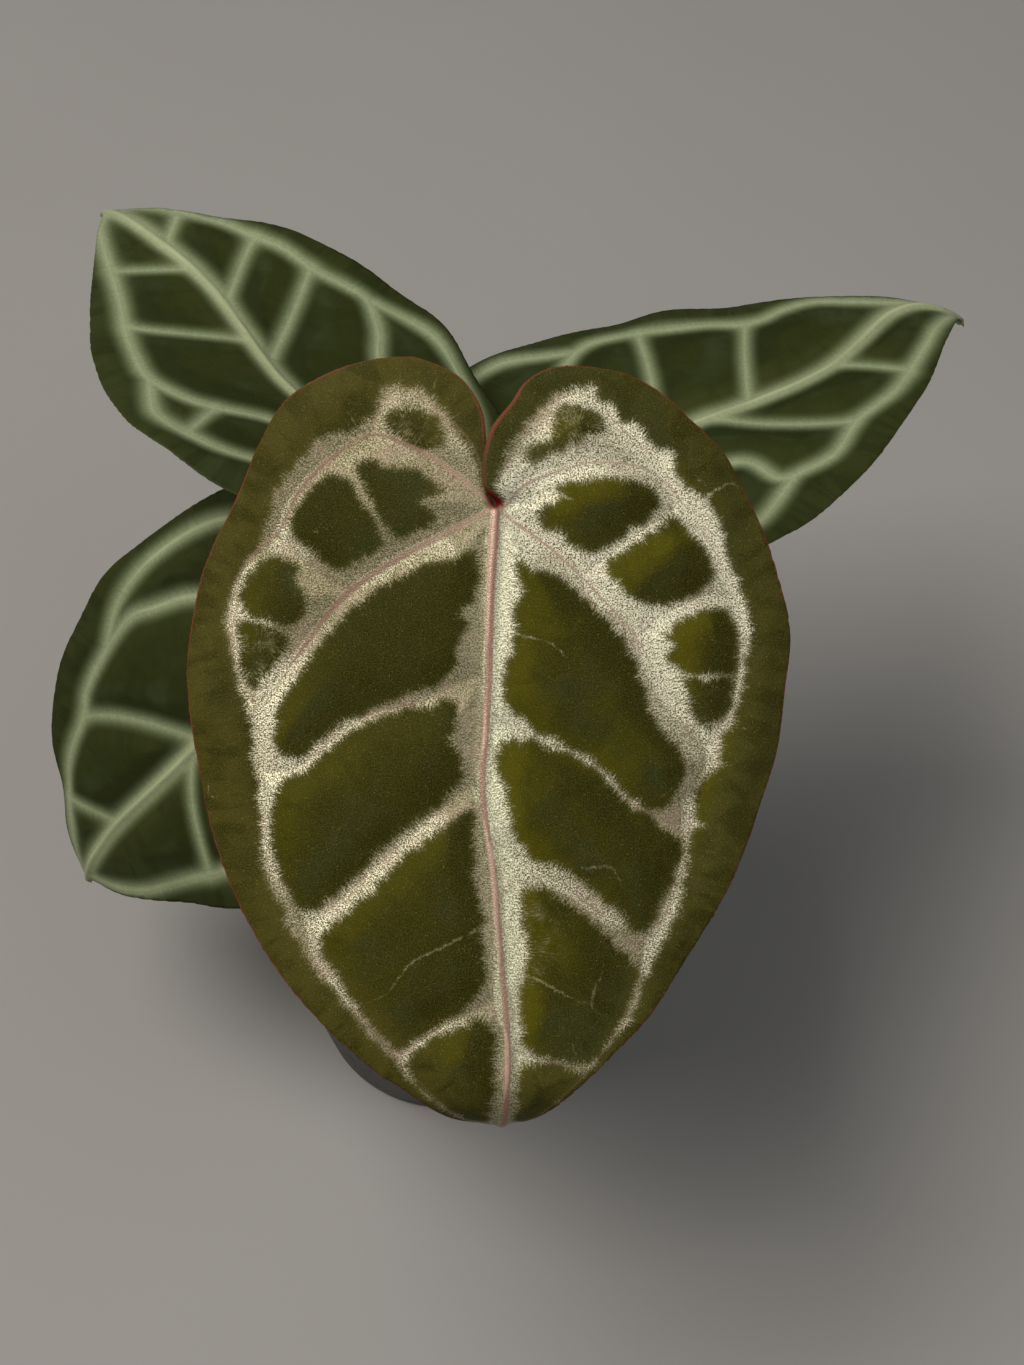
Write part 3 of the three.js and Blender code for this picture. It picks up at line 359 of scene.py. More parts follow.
        (0.03, [(42, -22.6), (45, -21.6), (48.5, -22), (51, -24.5), (51.8, -28), (51.5, -31.5), (50.3, -34.3),
                (46, -34.7), (42, -34.3), (38.8, -33.8), (36.8, -31.5), (37.6, -28.8), (36, -26.6),
                (38.6, -25), (40.2, -23.6)]),
        (0.25, [(40, -36), (45, -36.1), (50.3, -36.2), (50, -40), (48, -43.4), (45, -45.3), (42.3, -43),
                (41, -40)]),
        (0.0, [(5, -11.4), (8, -13), (12, -14.2), (15, -16), (18, -18.6), (21, -21), (24, -24), (27, -27.6),
               (29, -31.5), (30.6, -36), (32, -41), (34, -46), (37.5, -50), (39.3, -54), (38.4, -58),
               (36, -61.6), (33, -61.6), (30, -59.6), (27.5, -56.6), (25, -53), (21, -50.4), (15, -47.6),
               (10, -45.2), (6, -43.6), (3, -42), (1.8, -38), (2, -34), (3.6, -30), (4, -26), (4, -22),
               (5.5, -18.5), (4.8, -14.6)]),
        (0.0, [(3, -48.5), (9, -50.4), (15, -53), (20, -55.6), (24, -59.2), (28, -62.5), (32, -65.2),
               (35, -67.8), (38, -69.2), (39.2, -71.5), (38, -75), (36.5, -79), (34, -83.4), (32, -87.8),
               (30, -88), (28.5, -86.8), (26.5, -84), (24, -81.5), (20.5, -79.6), (18, -77), (14, -75),
               (10, -73.6), (7, -71.5), (5, -68.5), (4, -64.5), (3, -60.5), (1.6, -57), (0.6, -53),
               (1, -50)]),
        (0.1, [(6.5, -80.6), (10, -80), (13, -82), (16, -84), (19, -86.6), (22, -89), (25, -92), (28, -95),
               (29.2, -98), (28.4, -102), (27, -105.5), (24.5, -110), (21.5, -113.8), (19, -115.8),
               (15, -115), (10, -113.8), (6.5, -111.8), (6, -106), (6.2, -100), (7.6, -95), (7.4, -90),
               (6, -85)]),
        (0.0, [(6.6, -117), (12, -117), (17, -118.6), (18.4, -119.4), (16, -122.5), (12, -126), (8, -131),
               (5.4, -133), (5, -128), (5.6, -122)]),
    ],
}
BACK_LEFT = {
    "name": "back_left",
    "length": 129.6,
    "place": {
        "at": (-8.7, 31.9, 202.6), "azimuth": 125, "droop": 0, "bend": 0, "hook": 47, "hook_at": 0.84,
        "lobe_droop": 10, "roll": 28, "twist": -33, "sweep": 8, "fold": (-1, -8), "curl": (-1, 15.5),
    },
    "left": [
        (0, 0), (-1, 5), (-1.5, 9), (-4, 16), (-10, 23), (-19, 26.5), (-29, 24), (-38, 16), (-43.5, 4),
        (-46, -12), (-47.5, -30), (-48, -41), (-46, -52), (-41, -66), (-35, -78.5), (-27.5, -90),
        (-18.5, -101), (-9, -111), (-3.5, -118), (-1, -124), (0, -129.6),
    ],
    "right": [
        (0, 0), (1, 5), (1.5, 9), (4, 16), (9, 22), (17, 26), (26, 24), (35, 17), (41.5, 6), (45.5, -6),
        (47.8, -17.5), (48.2, -30), (46, -46.5), (40, -66), (30, -84.5), (20, -99), (11, -111), (5, -118.5),
        (1.5, -124), (0, -129.6),
    ],
    "midrib": [
        [(0, -1), (2.5, -20), (4.2, -38), (3, -50), (0.8, -62), (-1.5, -76), (-2, -90), (-1, -104), (0, -115),
         (0, -127)],
    ],
    "main": [
        [(0, -1), (8, -13), (17.5, -25.5), (27, -33.5), (31.5, -41), (33.7, -52), (31, -62.5), (27, -73),
         (21, -85), (15, -99), (9, -112), (2, -122)],
        [(0, 0), (8, 3), (18, 2), (27, -6), (35.5, -15), (39.5, -25), (41, -33), (40, -40), (34, -51)],
        [(0, -1), (-9, -13), (-18, -27), (-25, -40), (-30, -47), (-34, -57), (-32, -63), (-28, -71),
         (-25.5, -81), (-21.5, -89), (-18.5, -97.5), (-11, -108), (-3, -120)],
        [(0, 0), (-9, 4), (-19, 3), (-30, -5), (-38, -14), (-42, -25), (-43.4, -38), (-41, -46), (-35, -56)],
    ],
    "side": [
        [(1, 2), (6, 12), (12, 18), (19, 18), (25, 13), (28, 4), (27, -6)],
        [(-1, 2), (-6, 12), (-12, 18), (-20, 19), (-27, 14), (-30, 5), (-30, -5)],
        [(39, -26.6), (32, -30.7), (27, -33.5)],
        [(2, -56.5), (12, -62.5), (20, -68.5), (25.5, -74)],
        [(-1.5, -88), (6, -91.5), (15.5, -97)],
        [(-1.5, -72), (-14, -82.7), (-22, -88.5)],
        [(0.5, -49), (-11.5, -59), (-27.5, -72.5)],
        [(-1.7, -99), (-10, -105.5)],
    ],
    "threads": [],
}
BACK_RIGHT = {
    "name": "back_right",
    "length": 146.5,
    "place": {
        "at": (20.2, 50.9, 173.1), "azimuth": 28.5, "droop": -0.5, "bend": -1.5, "hook": 65, "hook_at": 0.84,
        "lobe_droop": 10, "roll": -4, "twist": -9, "sweep": 2, "fold": (-4, -3.5), "curl": (5, 9.5),
    },
    "left": [
        (0, 0), (-1, 5.5), (-1.7, 10), (-4, 18), (-10, 25), (-20, 28.5), (-30, 26), (-39, 18), (-45, 7),
        (-48.5, -7), (-49.8, -22), (-49.3, -38), (-47.5, -52.5), (-43.5, -71), (-36, -89), (-25, -107),
        (-14.5, -121), (-6.5, -131), (-2, -138.5), (0, -146.5),
    ],
    "right": [
        (0, 0), (1, 5.5), (1.7, 10), (4, 18), (10, 25), (20, 28.5), (31, 25), (40.5, 16), (46.5, 4),
        (49.2, -10), (50.4, -25), (50.2, -41), (45.3, -62), (38, -83), (29, -102), (19, -117), (9, -128.5),
        (3.5, -135), (1.5, -140), (0, -146.5),
    ],
    "midrib": [
        [(0, -1), (0.6, -25), (-0.6, -53), (-2, -66), (-3, -78), (-3, -87), (-1.8, -96), (1.3, -105),
         (4.8, -114), (6.5, -121), (5.5, -129), (2, -137), (0, -143)],
    ],
    "main": [
        [(0, -1), (10, -12), (21, -22), (32, -31), (40, -41), (41.5, -49), (39, -58.7), (35, -68.6),
         (31, -77.6), (26, -85), (24.6, -91), (25, -98), (23, -107), (17, -115), (9, -125), (2, -137)],
        [(0, 0), (10, 4), (22, 3), (34, -3), (43, -10), (46, -19), (45, -28), (40.5, -41)],
        [(0, -1), (-8, -16), (-14, -34), (-18.3, -50), (-22, -56), (-31, -58.5), (-32.3, -66), (-31.5, -75),
         (-25, -86), (-23, -94), (-20.5, -102), (-11, -118), (-6, -125.5), (-1, -136)],
        [(0, 0), (-10, 4), (-22, 3), (-34, -5), (-41, -17), (-43, -32), (-41, -45), (-37, -54), (-32.3, -62)],
    ],
    "side": [
        [(1, 2), (6, 12), (12, 19), (20, 20), (28, 15), (32, 6), (34, -3)],
        [(-1, 2), (-6, 12), (-12, 19), (-20, 20), (-28, 15), (-32, 6), (-34, -5)],
        [(-1.5, -69), (13, -77.5), (25, -85.5)],
        [(0, -43), (16.6, -51), (28.2, -56), (38, -59.5)],
        [(-2.8, -96), (-9.8, -103), (-17, -108.5)],
        [(-1, -57.5), (-10, -65.5), (-18.2, -75.5), (-24.5, -85)],
    ],
    "threads": [],
}
LEFT = {
    "name": "left",
    "length": 119.9,
    "place": {
        "at": (-28.9, 26.7, 147.5), "azimuth": 198.5, "droop": 32, "bend": 31.5, "hook": 37, "hook_at": 0.84,
        "lobe_droop": 11, "roll": -18.5, "twist": -9, "sweep": -6, "fold": (-5, -0.5), "curl": (6, 15.5),
    },
    "left": [
        (0, 0), (-1, 5), (-1.7, 9), (-4, 16), (-10, 23), (-20, 26.5), (-31, 23.5), (-41, 14), (-47.5, 1.5),
        (-49.8, -11), (-51, -27), (-50.5, -44), (-46.7, -60), (-39.5, -75), (-29.5, -87), (-18.2, -97),
        (-8.5, -105.5), (-3, -111), (-1, -115), (0, -119.9),
    ],
    "right": [
        (0, 0), (1, 5), (1.7, 9), (4, 15), (9, 20.5), (17, 22), (26, 19), (36, 11.5), (44, 0.5), (49, -14),
        (51.5, -30), (50.5, -46), (46, -60), (38.5, -71.5), (27, -88), (14, -104), (6, -111), (2, -115.5),
        (0, -119.9),
    ],
    "midrib": [
        [(0, -1), (1.5, -25), (2.8, -48), (3, -64), (2.5, -75), (1.8, -87), (2, -97), (2, -108), (0.3, -117)],
    ],
    "main": [
        [(0, -1), (-12, -8), (-22, -16), (-29.7, -24.4), (-34, -35.3), (-36.7, -44), (-34, -57.8),
         (-30.5, -68), (-26.4, -73), (-23.5, -81.6), (-20, -89.5), (-15, -96), (-8, -103), (-1, -112)],
        [(0, 0), (-12, 4), (-26, 5), (-36, 0), (-41.2, -6), (-44, -14), (-45.3, -24), (-45, -34), (-42, -45),
         (-35.5, -54)],
        [(0, -1), (8, -7), (18, -16), (28, -28), (34, -40), (35, -52), (32.3, -62.5), (29, -70.6),
         (25.2, -80.5), (21.2, -90.2), (16.3, -97.8), (9, -106), (1, -113)],
        [(0, 0), (12, 4), (24, 4), (34, -1), (41, -12), (44, -26), (43, -40), (38, -52), (33, -61)],
    ],
    "side": [
        [(-1, 2), (-6, 11), (-12, 17), (-19, 18.5), (-27, 15), (-31, 9), (-32, 2)],
        [(1, 2), (6, 10), (11, 15), (18, 16), (24, 12), (27, 4)],
        [(1, -45), (-6.6, -51.5), (-12.7, -57), (-20, -64.5), (-26.4, -73)],
        [(1.5, -85), (-7, -91), (-15, -96)],
        [(2.5, -48), (9.5, -54.5), (17, -59.5), (30, -66)],
    ],
    "threads": [],
}

# Blades
# Half the width of a vein by rank, how it stands on the blade's face and underneath, and how far its silver
# reaches on a mature leaf
VEIN = {
    "midrib": {"half": 1.8, "above": 0.85, "below": 0.95, "silver": 2.7},
    "main": {"half": 1.2, "above": -0.25, "below": 0.7, "silver": 2.0},
    "side": {"half": 1.0, "above": -0.12, "below": 0.5, "silver": 1.55},
}
BLADE_HALF = 0.25  # half the thickness of a blade
YOUNG_NET = 0.64  # step between a blade's points
MATURE_NET = 0.85
QUILT = 1.4  # how far the face swells between the veins
QUILT_REACH = 5.5
WAVE = 0.7
WAVE_REACH = 9  # the margin's waves fade out this far inside it
REACH = 20  # a line further away than this isn't looked for
RIM_INSET = 0.8  # the silver is solid this far inside its outermost hairs, on the upper half
VEIN_ROWS = (-1.2, -0.6, 0, 0.6, 1.2)
THREAD_ROWS = (-0.4, 0, 0.4)
MIDRIB_START = -40  # the bent midrib runs on behind the stalk, for the lobes
MIDRIB_STEP = 0.5
BAND_BLEND = 1.1  # how sharply the silver bands of a mature leaf merge


def smoothstep(low, high, value):
    t = np.clip((np.asarray(value, float) - low) / (high - low), 0, 1)
    return t * t * (3 - 2 * t)


def curve_between(first, second, start, end, count):
    """Points from the first to just before the second, which leave and arrive along these slopes."""
    t = np.linspace(0, 1, count, endpoint=False)[:, None]
    cubic = 2 * first - 2 * second + start + end
    square = 3 * second - 3 * first - 2 * start - end
    return cubic * t**3 + square * t**2 + start * t + first


def even_points(curve, step=None, count=None):
    """Points along a curve, at about this step or as many as this."""
    along = np.concatenate([[0], np.cumsum(np.linalg.norm(np.diff(curve, axis=0), axis=1))])
    count = count or max(2, round(along[-1] / step) + 1)
    places = np.linspace(0, along[-1], count)
    return np.stack([np.interp(places, along, values) for values in curve.T], 1)


def smooth_line(points, step, closed=False):
    """Points at an even step along a smooth curve through the given ones."""
    points = np.array(points, float)
    if closed:
        points = np.concatenate([points[-1:], points, points[:2]])
    else:
        points = np.concatenate([points[:1], points, points[-1:]])
    pieces = [
        curve_between(b, c, (c - a) / 2, (d - b) / 2, 16)
        for a, b, c, d in zip(points, points[1:], points[2:], points[3:])
    ]
    line = even_points(np.concatenate([*pieces, points[-2:-1]]), step)
    return line[:-1] if closed else line


def looped(line):
    """The line with its first point again at its end."""
    return np.concatenate([line, line[:1]])


def nearest(points, starts, ends):
    """The distance from each point to the nearest segment within REACH, and the nearest place on it."""
    order = points[:, 1].argsort()
    x, y = points[order].T.copy()
    square = np.full(len(points), REACH**2, float)
    foot_x, foot_y = x.copy(), y.copy()
    for (ax, ay), (bx, by) in zip(starts.tolist(), ends.tolist()):
        low, high = np.searchsorted(y, (min(ay, by) - REACH, max(ay, by) + REACH))
        here = slice(low, high)
        run_x, run_y = bx - ax, by - ay
        t = ((x[here] - ax) * run_x + (y[here] - ay) * run_y) / max(run_x**2 + run_y**2, 1e-9)
        t = np.minimum(np.maximum(t, 0), 1)
        at_x, at_y = ax + t * run_x, ay + t * run_y
        gap = (x[here] - at_x) ** 2 + (y[here] - at_y) ** 2
        closer = gap < square[here]
        square[here] = np.where(closer, gap, square[here])
        foot_x[here] = np.where(closer, at_x, foot_x[here])
        foot_y[here] = np.where(closer, at_y, foot_y[here])
    back = order.argsort()
    return np.sqrt(square)[back], np.stack([foot_x, foot_y], 1)[back]


def to_lines(points, lines):
    return nearest(points, np.concatenate([a[:-1] for a in lines]), np.concatenate([a[1:] for a in lines]))


def inside(points, loops):
    """Whether each point is inside an odd number of the loops."""
    odd = np.zeros(len(points), bool)
    for loop in loops:
        for a, b in zip(loop, np.roll(loop, -1, 0)):
            if a[1] != b[1]:
                spans = (a[1] > points[:, 1]) != (b[1] > points[:, 1])
                crossing = (b[0] - a[0]) * (points[:, 1] - a[1]) / (b[1] - a[1]) + a[0]
                odd ^= spans & (points[:, 0] < crossing)
    return odd


def sideways(along):
    """Unit vectors to the left of a line that runs in these directions."""
    return np.stack([-along[:, 1], along[:, 0]], 1) / np.linalg.norm(along, axis=1)[:, None]


def blade_outline(leaf, step):
    """The outline at an even step, finely nicked except near the sinus and the tip."""
    left = smooth_line(leaf["left"], step)
    right = smooth_line(leaf["right"], step)[::-1]
    outline = np.concatenate([left, right[1:-1]])
    nicks = np.sin(outline @ (2.1, 1.3)) * np.sin(outline @ (0.7, -1.9) + 1)
    nicks = nicks + 0.5 * np.sin(outline @ (3.7, 2.9))
    inward = sideways(np.roll(outline, -1, 0) - np.roll(outline, 1, 0))
    calm = smoothstep(6, 14, np.abs(outline[:, 0]))
    return outline + inward * (0.09 * (1.2 + nicks) * calm)[:, None]


def vein_rows(leaf, step):
    """Rows of points along the veins and threads, clear of earlier rows, and the lines that they follow."""
    wanted = [(smooth_line(line, step), VEIN_ROWS) for rank in VEIN for line in leaf[rank]]
    wanted += [(smooth_line(line, 0.7), THREAD_ROWS) for _, line in leaf["threads"]]
    kept, lines = [], []
    for line, offsets in wanted:
        across = sideways(np.gradient(line, axis=0))
        rows = np.concatenate([line + across * offset for offset in offsets])
        if lines:
            rows = rows[to_lines(rows, lines)[0] > 1.5]
        kept.append(rows)
        lines.append(line)
    return np.concatenate(kept), lines


def even_net(outline, step):
    """Corners of a net of even triangles over the outline's box."""
    low, high = outline.min(0), outline.max(0)
    rows = np.arange(low[1], high[1], step * math.sqrt(0.75))
    columns = np.arange(low[0], high[0], step)
    x = columns[None, :] + (np.arange(len(rows)) % 2)[:, None] * step / 2
    return np.stack([x, np.broadcast_to(rows[:, None], x.shape)], 2).reshape(-1, 2)


def cut_blade(leaf, step):
    """The flat blade: points of the pattern, the triangles between them, and its closed outline."""
    outline = blade_outline(leaf, 1.3 * step)
    rows, lines = vein_rows(leaf, 1.1 * step)
    net = even_net(outline, step)
    net = net[to_lines(net, lines)[0] > 1.2 + 0.6 * step]
    points = np.concatenate([rows, net])
    points = points[inside(points, [outline])]
    border = looped(outline)
    points = points[to_lines(points, [border])[0] > 0.55 * step]
    count = len(outline)
    ring = [(i, (i + 1) % count) for i in range(count)]
    corners = [Vector(point) for point in (*outline, *points)]
    cut = geometry.delaunay_2d_cdt(corners, ring, [], 1, 1e-5)
    return np.array(cut[0]), np.array(cut[2]), border


def midrib_frames(leaf):
    """The bent midrib: a place and its directions up and across at every step."""
    place, length = leaf["place"], leaf["length"]
    s = np.arange(MIDRIB_START, length + 2 * MIDRIB_STEP, MIDRIB_STEP)
    t = np.maximum(0, s / length)
    hook = np.clip((s / length - place["hook_at"]) / (1 - place["hook_at"]), 0, 1)
    pitch = place["droop"] + place["bend"] * t + place["hook"] * hook
    pitch = np.radians(pitch + place["lobe_droop"] * np.minimum(s, 0) / 30)
    azimuth = np.radians(place["azimuth"] + place["sweep"] * t)
    turn = np.radians(place["roll"] + place["twist"] * t)[:, None]
    along = np.stack([np.cos(pitch) * np.cos(azimuth), np.cos(pitch) * np.sin(azimuth), -np.sin(pitch)], 1)
    up = np.stack([np.sin(pitch) * np.cos(azimuth), np.sin(pitch) * np.sin(azimuth), np.cos(pitch)], 1)
    across = np.stack([-np.sin(azimuth), np.cos(azimuth), 0 * azimuth], 1)
    turned_up = up * np.cos(turn) + np.cross(along, up) * np.sin(turn)
    turned_across = across * np.cos(turn) + np.cross(along, across) * np.sin(turn)
    at = np.concatenate([[(0, 0, 0)], np.cumsum(along * MIDRIB_STEP, 0)[:-1]])
    at = at - at[int(-MIDRIB_START / MIDRIB_STEP)] + np.array(place["at"])
    return s, at, turned_up, turned_across


def lap_over(leaf, x, y):
    """How far the right lobe is drawn over the left one, and x with that drawn off it."""
    if "lap" not in leaf:
        return 0 * x, x
    lap = leaf["lap"]
    along = smoothstep(lap["from"], lap["from"] + 4, y) * (1 - smoothstep(lap["to"] - 9, lap["to"], y))
    amount = np.where(x < -1, 0, along * np.exp(-((x / lap["reach"]) ** 2)))
    return lap["rise"] * amount, x - lap["shift"] * amount


def bend_blade(leaf, pattern, lift):
    """Pattern points on the bent blade, each lifted off its middle surface."""
    s, at, up, across = midrib_frames(leaf)
    place = leaf["place"]

    def middle(p):
        rise, x = lap_over(leaf, p[:, 0], p[:, 1])
        half = (x >= 0).astype(int)
        start = np.radians(np.array(place["fold"], float))[half]
        rate = np.radians(np.array(place["curl"], float))[half] / 60 + 1e-6
        angle = start + rate * np.abs(x)
        out = np.sign(x) * (np.sin(angle) - np.sin(start)) / rate
        height = (np.cos(angle) - np.cos(start)) / rate + rise

        def on_midrib(values):
            return np.stack([np.interp(-p[:, 1], s, values[:, k]) for k in range(3)], 1)

        return on_midrib(at) + on_midrib(across) * out[:, None] + on_midrib(up) * height[:, None]

    e = 0.4
    side = middle(pattern + (e, 0)) - middle(pattern - (e, 0))
    lengthwise = middle(pattern + (0, e)) - middle(pattern - (0, e))
    normal = np.cross(side, lengthwise)
    normal /= np.linalg.norm(normal, axis=1)[:, None]
    return middle(pattern) + normal * np.asarray(lift, float).reshape(-1, 1)


def rimmed_silver(leaf, pattern, ranks):
    """Depth inside the silver, negative outside it, the nearest place on its edge, and its strewing."""
    rim = smooth_line(leaf["rim"], 0.9, closed=True)
    gap, foot = to_lines(pattern, [looped(rim)])
    depth = np.where(inside(pattern, [rim]), gap, -gap) - RIM_INSET * smoothstep(-90, -60, pattern[:, 1])
    cells = [smooth_line(cell, 0.9, closed=True) for _, cell in leaf["cells"]]
    strewn = np.zeros(len(pattern))
    for (share, _), cell in zip(leaf["cells"], cells):
        strewn = np.where(inside(pattern, [cell]), share, strewn)
    gap, at = to_lines(pattern, [looped(cell) for cell in cells])
    here = np.where(inside(pattern, cells), -gap, gap)
    foot = np.where((here < depth)[:, None], at, foot)
    depth = np.minimum(depth, here)
    others = to_lines(pattern, [*ranks["midrib"], *ranks["main"]])[0]
    flare = 3 * (1 - smoothstep(3, 11, others))
    for reach, line in zip(leaf["reach"], ranks["side"]):
        gap, at = to_lines(pattern, [line])
        here = np.minimum(depth, reach + flare - gap)
        share = smoothstep(0, 3, others - gap)
        foot = np.where(((here < depth) & (share > 0.5))[:, None], at, foot)
        depth = depth + (here - depth) * share
    return depth, foot, strewn


def banded_silver(pattern, ranks):
    """The same for a mature leaf, where the silver is a soft band along every vein."""
    depth = np.full(len(pattern), -99.0)
    foot = pattern.copy()
    soft = np.zeros(len(pattern))
    for rank, lines in ranks.items():
        gap, at = to_lines(pattern, lines)
        here = VEIN[rank]["silver"] - gap
        foot = np.where((here > depth)[:, None], at, foot)
        depth = np.maximum(depth, here)
        soft += np.exp(BAND_BLEND * np.clip(here, -12, 6))
    return np.log(soft + 1e-9) / BAND_BLEND, foot, np.zeros(len(pattern))


def thread_depth(leaf, pattern):
    """Depth inside the threads: slightly shaky lines that grow thinner towards their end."""
    depth = np.full(len(pattern), -9.0)
    for half, line in leaf["threads"]:
        line = smooth_line(line, 0.35)
        for i, point in enumerate(line):
            here = 0.75 * half * (1 - 0.8 * (i / len(line)) ** 2)
            point = point + 0.18 * np.array((math.sin(1.2 * i), math.cos(0.9 * i + half)))
            depth = np.maximum(depth, here - np.hypot(*(pattern - point).T))
    return depth


def uphill_of(pattern, ranks):
    """Which way the quilted face rises: away from the nearby veins."""
    uphill = np.zeros_like(pattern)
    for lines in ranks.values():
        for line in lines:
            gap, at = to_lines(pattern, [line])
            uphill += (pattern - at) * np.exp(-((gap / 6) ** 2))[:, None] / 6
    return uphill


def rounded(distance, half):
    """A rounded ridge: 1 on the line and 0 from half its width outwards."""
    return 0.5 + 0.5 * np.cos(np.pi * np.clip(distance / half, 0, 1))


def face_heights(pattern, distance, edge):
    """Heights of the upper and the lower face: quilted, waved at the margin, puckered and veined."""
    x, y = pattern.T
    closest = np.minimum(np.minimum(distance["midrib"], distance["main"]), distance["side"])
    swell = QUILT * (1 - np.exp(-((closest / QUILT_REACH) ** 2))) * smoothstep(0, 7, edge)
    turn = np.arctan2(x, -y - 45)
    waves = np.sin(7 * turn + 0.6) + 0.6 * np.sin(12 * turn + 2.1)
    wave = WAVE * waves * (1 - smoothstep(0, WAVE_REACH, edge)) * smoothstep(8, 20, np.abs(x))
    ripple = np.sin(0.9 * x + 0.35 * y) * np.sin(0.75 * y - 0.3 * x + 1.3) + np.sin(0.5 * x - 0.62 * y + 2)
    lift = swell + wave + 0.03 * ripple * smoothstep(1, 5, closest)
    under = lift - BLADE_HALF
    raised = 0 * x
    sunk = 0 * x
    for rank, shape in VEIN.items():
        bump = rounded(distance[rank], shape["half"])
        raised = np.maximum(raised, max(shape["above"], 0) * bump)
        sunk = np.minimum(sunk, min(shape["above"], 0) * bump)
        under = np.minimum(under, lift - BLADE_HALF - shape["below"] * bump)
    fine_ridge = np.where(distance["midrib"] > 1.3, 0.3 * rounded(distance["main"], 0.6), 0)
    top = lift + BLADE_HALF + raised + np.where(raised > 0.02, 0, sunk) + fine_ridge
    under = np.maximum(under, lift - BLADE_HALF - 1.0)
    thin = BLADE_HALF * 0.4 * (1 - smoothstep(0, 1.5, edge))
    return top - thin, under + thin


def keep_values(mesh, name, values, kind="FLOAT"):
    """Keeps a number or a vector for each vertex under a name that finishes can read."""
    layer = mesh.attributes.new(name, kind, "POINT")
    layer.data.foreach_set("value" if kind == "FLOAT" else "vector", np.ravel(values).astype(np.float32))


def make_blade(leaf, step, finish):
    """One blade: its pattern is cut, given two faces and bent, and carries what its finish follows."""
    ranks = {rank: [smooth_line(line, 1.6) for line in leaf[rank]] for rank in VEIN}
    pattern, faces, border = cut_blade(leaf, step)
    distance = {rank: to_lines(pattern, lines)[0] for rank, lines in ranks.items()}
    edge = to_lines(pattern, [border])[0]
    if "rim" in leaf:
        depth, foot, strewn = rimmed_silver(leaf, pattern, ranks)
    else:
        depth, foot, strewn = banded_silver(pattern, ranks)
    uphill = uphill_of(pattern, ranks)
    heights = face_heights(pattern, distance, edge)
    places = np.concatenate([bend_blade(leaf, pattern, height) for height in heights])

    n = len(pattern)
    edges = {pair for a, b, c in faces for pair in ((a, b), (b, c), (c, a))}
    walls = [(b, a, n + a, n + b) for a, b in edges if (b, a) not in edges]
    name = "blade_" + leaf["name"]
    mesh = bpy.data.meshes.new(name)
    mesh.from_pydata(places * MM, [], [*faces.tolist(), *(faces[:, ::-1] + n).tolist(), *walls])
    values = {
        "silver": depth,
        "strewn": strewn,
        "thread": thread_depth(leaf, pattern),
        "vein": np.minimum(distance["midrib"], distance["main"]),
        "midrib": distance["midrib"],
        "side": distance["side"],
        "edge": edge,
        "facing_left": uphill[:, 0],
        "facing_top": -uphill[:, 1],
    }
    for key, value in values.items():
        keep_values(mesh, key, np.tile(value, 2))
    keep_values(mesh, "under", np.repeat([0.0, 1.0], n))
    # Painted light: how squarely each point faces the key lamp, kept so that the finish can paint light and
    # shade from it
    facing = np.empty(len(mesh.vertices) * 3, np.float32)
    mesh.vertices.foreach_get("normal", facing)
    keep_values(mesh, "key_light_facing", facing.reshape(-1, 3) @ np.array(Vector(KEY_PLACE).normalized()))
    for key, value in {"foot": foot, "pattern": pattern}.items():
        keep_values(mesh, key, np.tile(np.c_[value, np.zeros(n)], (2, 1)), "FLOAT_VECTOR")
    piece = bpy.data.objects.new(name + "_look", mesh)
    bpy.context.collection.objects.link(piece)
    for polygon in mesh.polygons:
        polygon.use_smooth = True
    mesh.materials.append(finish)
    return piece


# Blade finishes: the colours of a blade, then how its silver is cut and how it shines, with painted light and
# shade
SEAT = (0, 0, 0)  # where the stalk meets the blade, on the pattern
# lit_line and lit_crest are the painted highlights of the veins, sparkle and sparkling the painted glints,
# and turned how strongly painted light and shade show on the young leaf, which also strews silver near its
# tip
YOUNG = {
    "silver": "#ded5ae", "deep": "#5f5638", "sparkle": "#fffbe2", "midrib_silver": "#c4c8a2",
    "fringe": "#6f6a34", "pinkish": "#b39b85", "yellow": "#494500", "olive": "#2b2901", "slate": "#282e15",
    "rim": "#403b13", "shade": "#1f2000", "glint_specks": "#958a40",
    "line": "#7f6355", "lit_line": "#a98e7c", "crest": "#96695a", "lit_crest": "#cba794",
    "margin": "#7a3f31", "spot": "#58070c", "thread": "#8b8552",
    "under": "#6b5238", "under_vein": "#a67f68",
    "streak": 3.2, "feather": 6.0, "grain": 2.9, "speckle": 1.2, "inset": 0.7, "soft": 1.0,
    "sparkling": 1.0, "turned": 0.5, "line_share": 0.8, "red": 1.0, "metal": 0.4,
}
MATURE = {
    "silver": "#9da681", "deep": "#969f7b", "sparkle": "#a9b18d", "midrib_silver": "#a1a680",
    "fringe": "#7c8b60", "pinkish": "#8f9a74", "yellow": "#353819", "olive": "#2a2f11", "slate": "#333b23",
    "rim": "#2f3417", "shade": "#22270f", "glint_specks": "#4a5428",
    "line": "#9aa67c", "lit_line": "#b4be94", "crest": "#a0a87e", "lit_crest": "#bcc39a",
    "margin": "#45471f", "spot": "#5c3a2c", "thread": "#44562c",
    "under": "#5d7650", "under_vein": "#93a878",
    "streak": 0.8, "feather": 0.25, "grain": 1.2, "speckle": 0.1, "inset": 0.1, "soft": 2.6,
    "sparkling": 0.15, "turned": 0.0, "line_share": 0.35, "red": 0.25, "metal": 0.1,
}
BLADE_VALUES = [
    "silver", "strewn", "thread", "vein", "midrib", "side", "edge", "under", "facing_left", "facing_top",
]


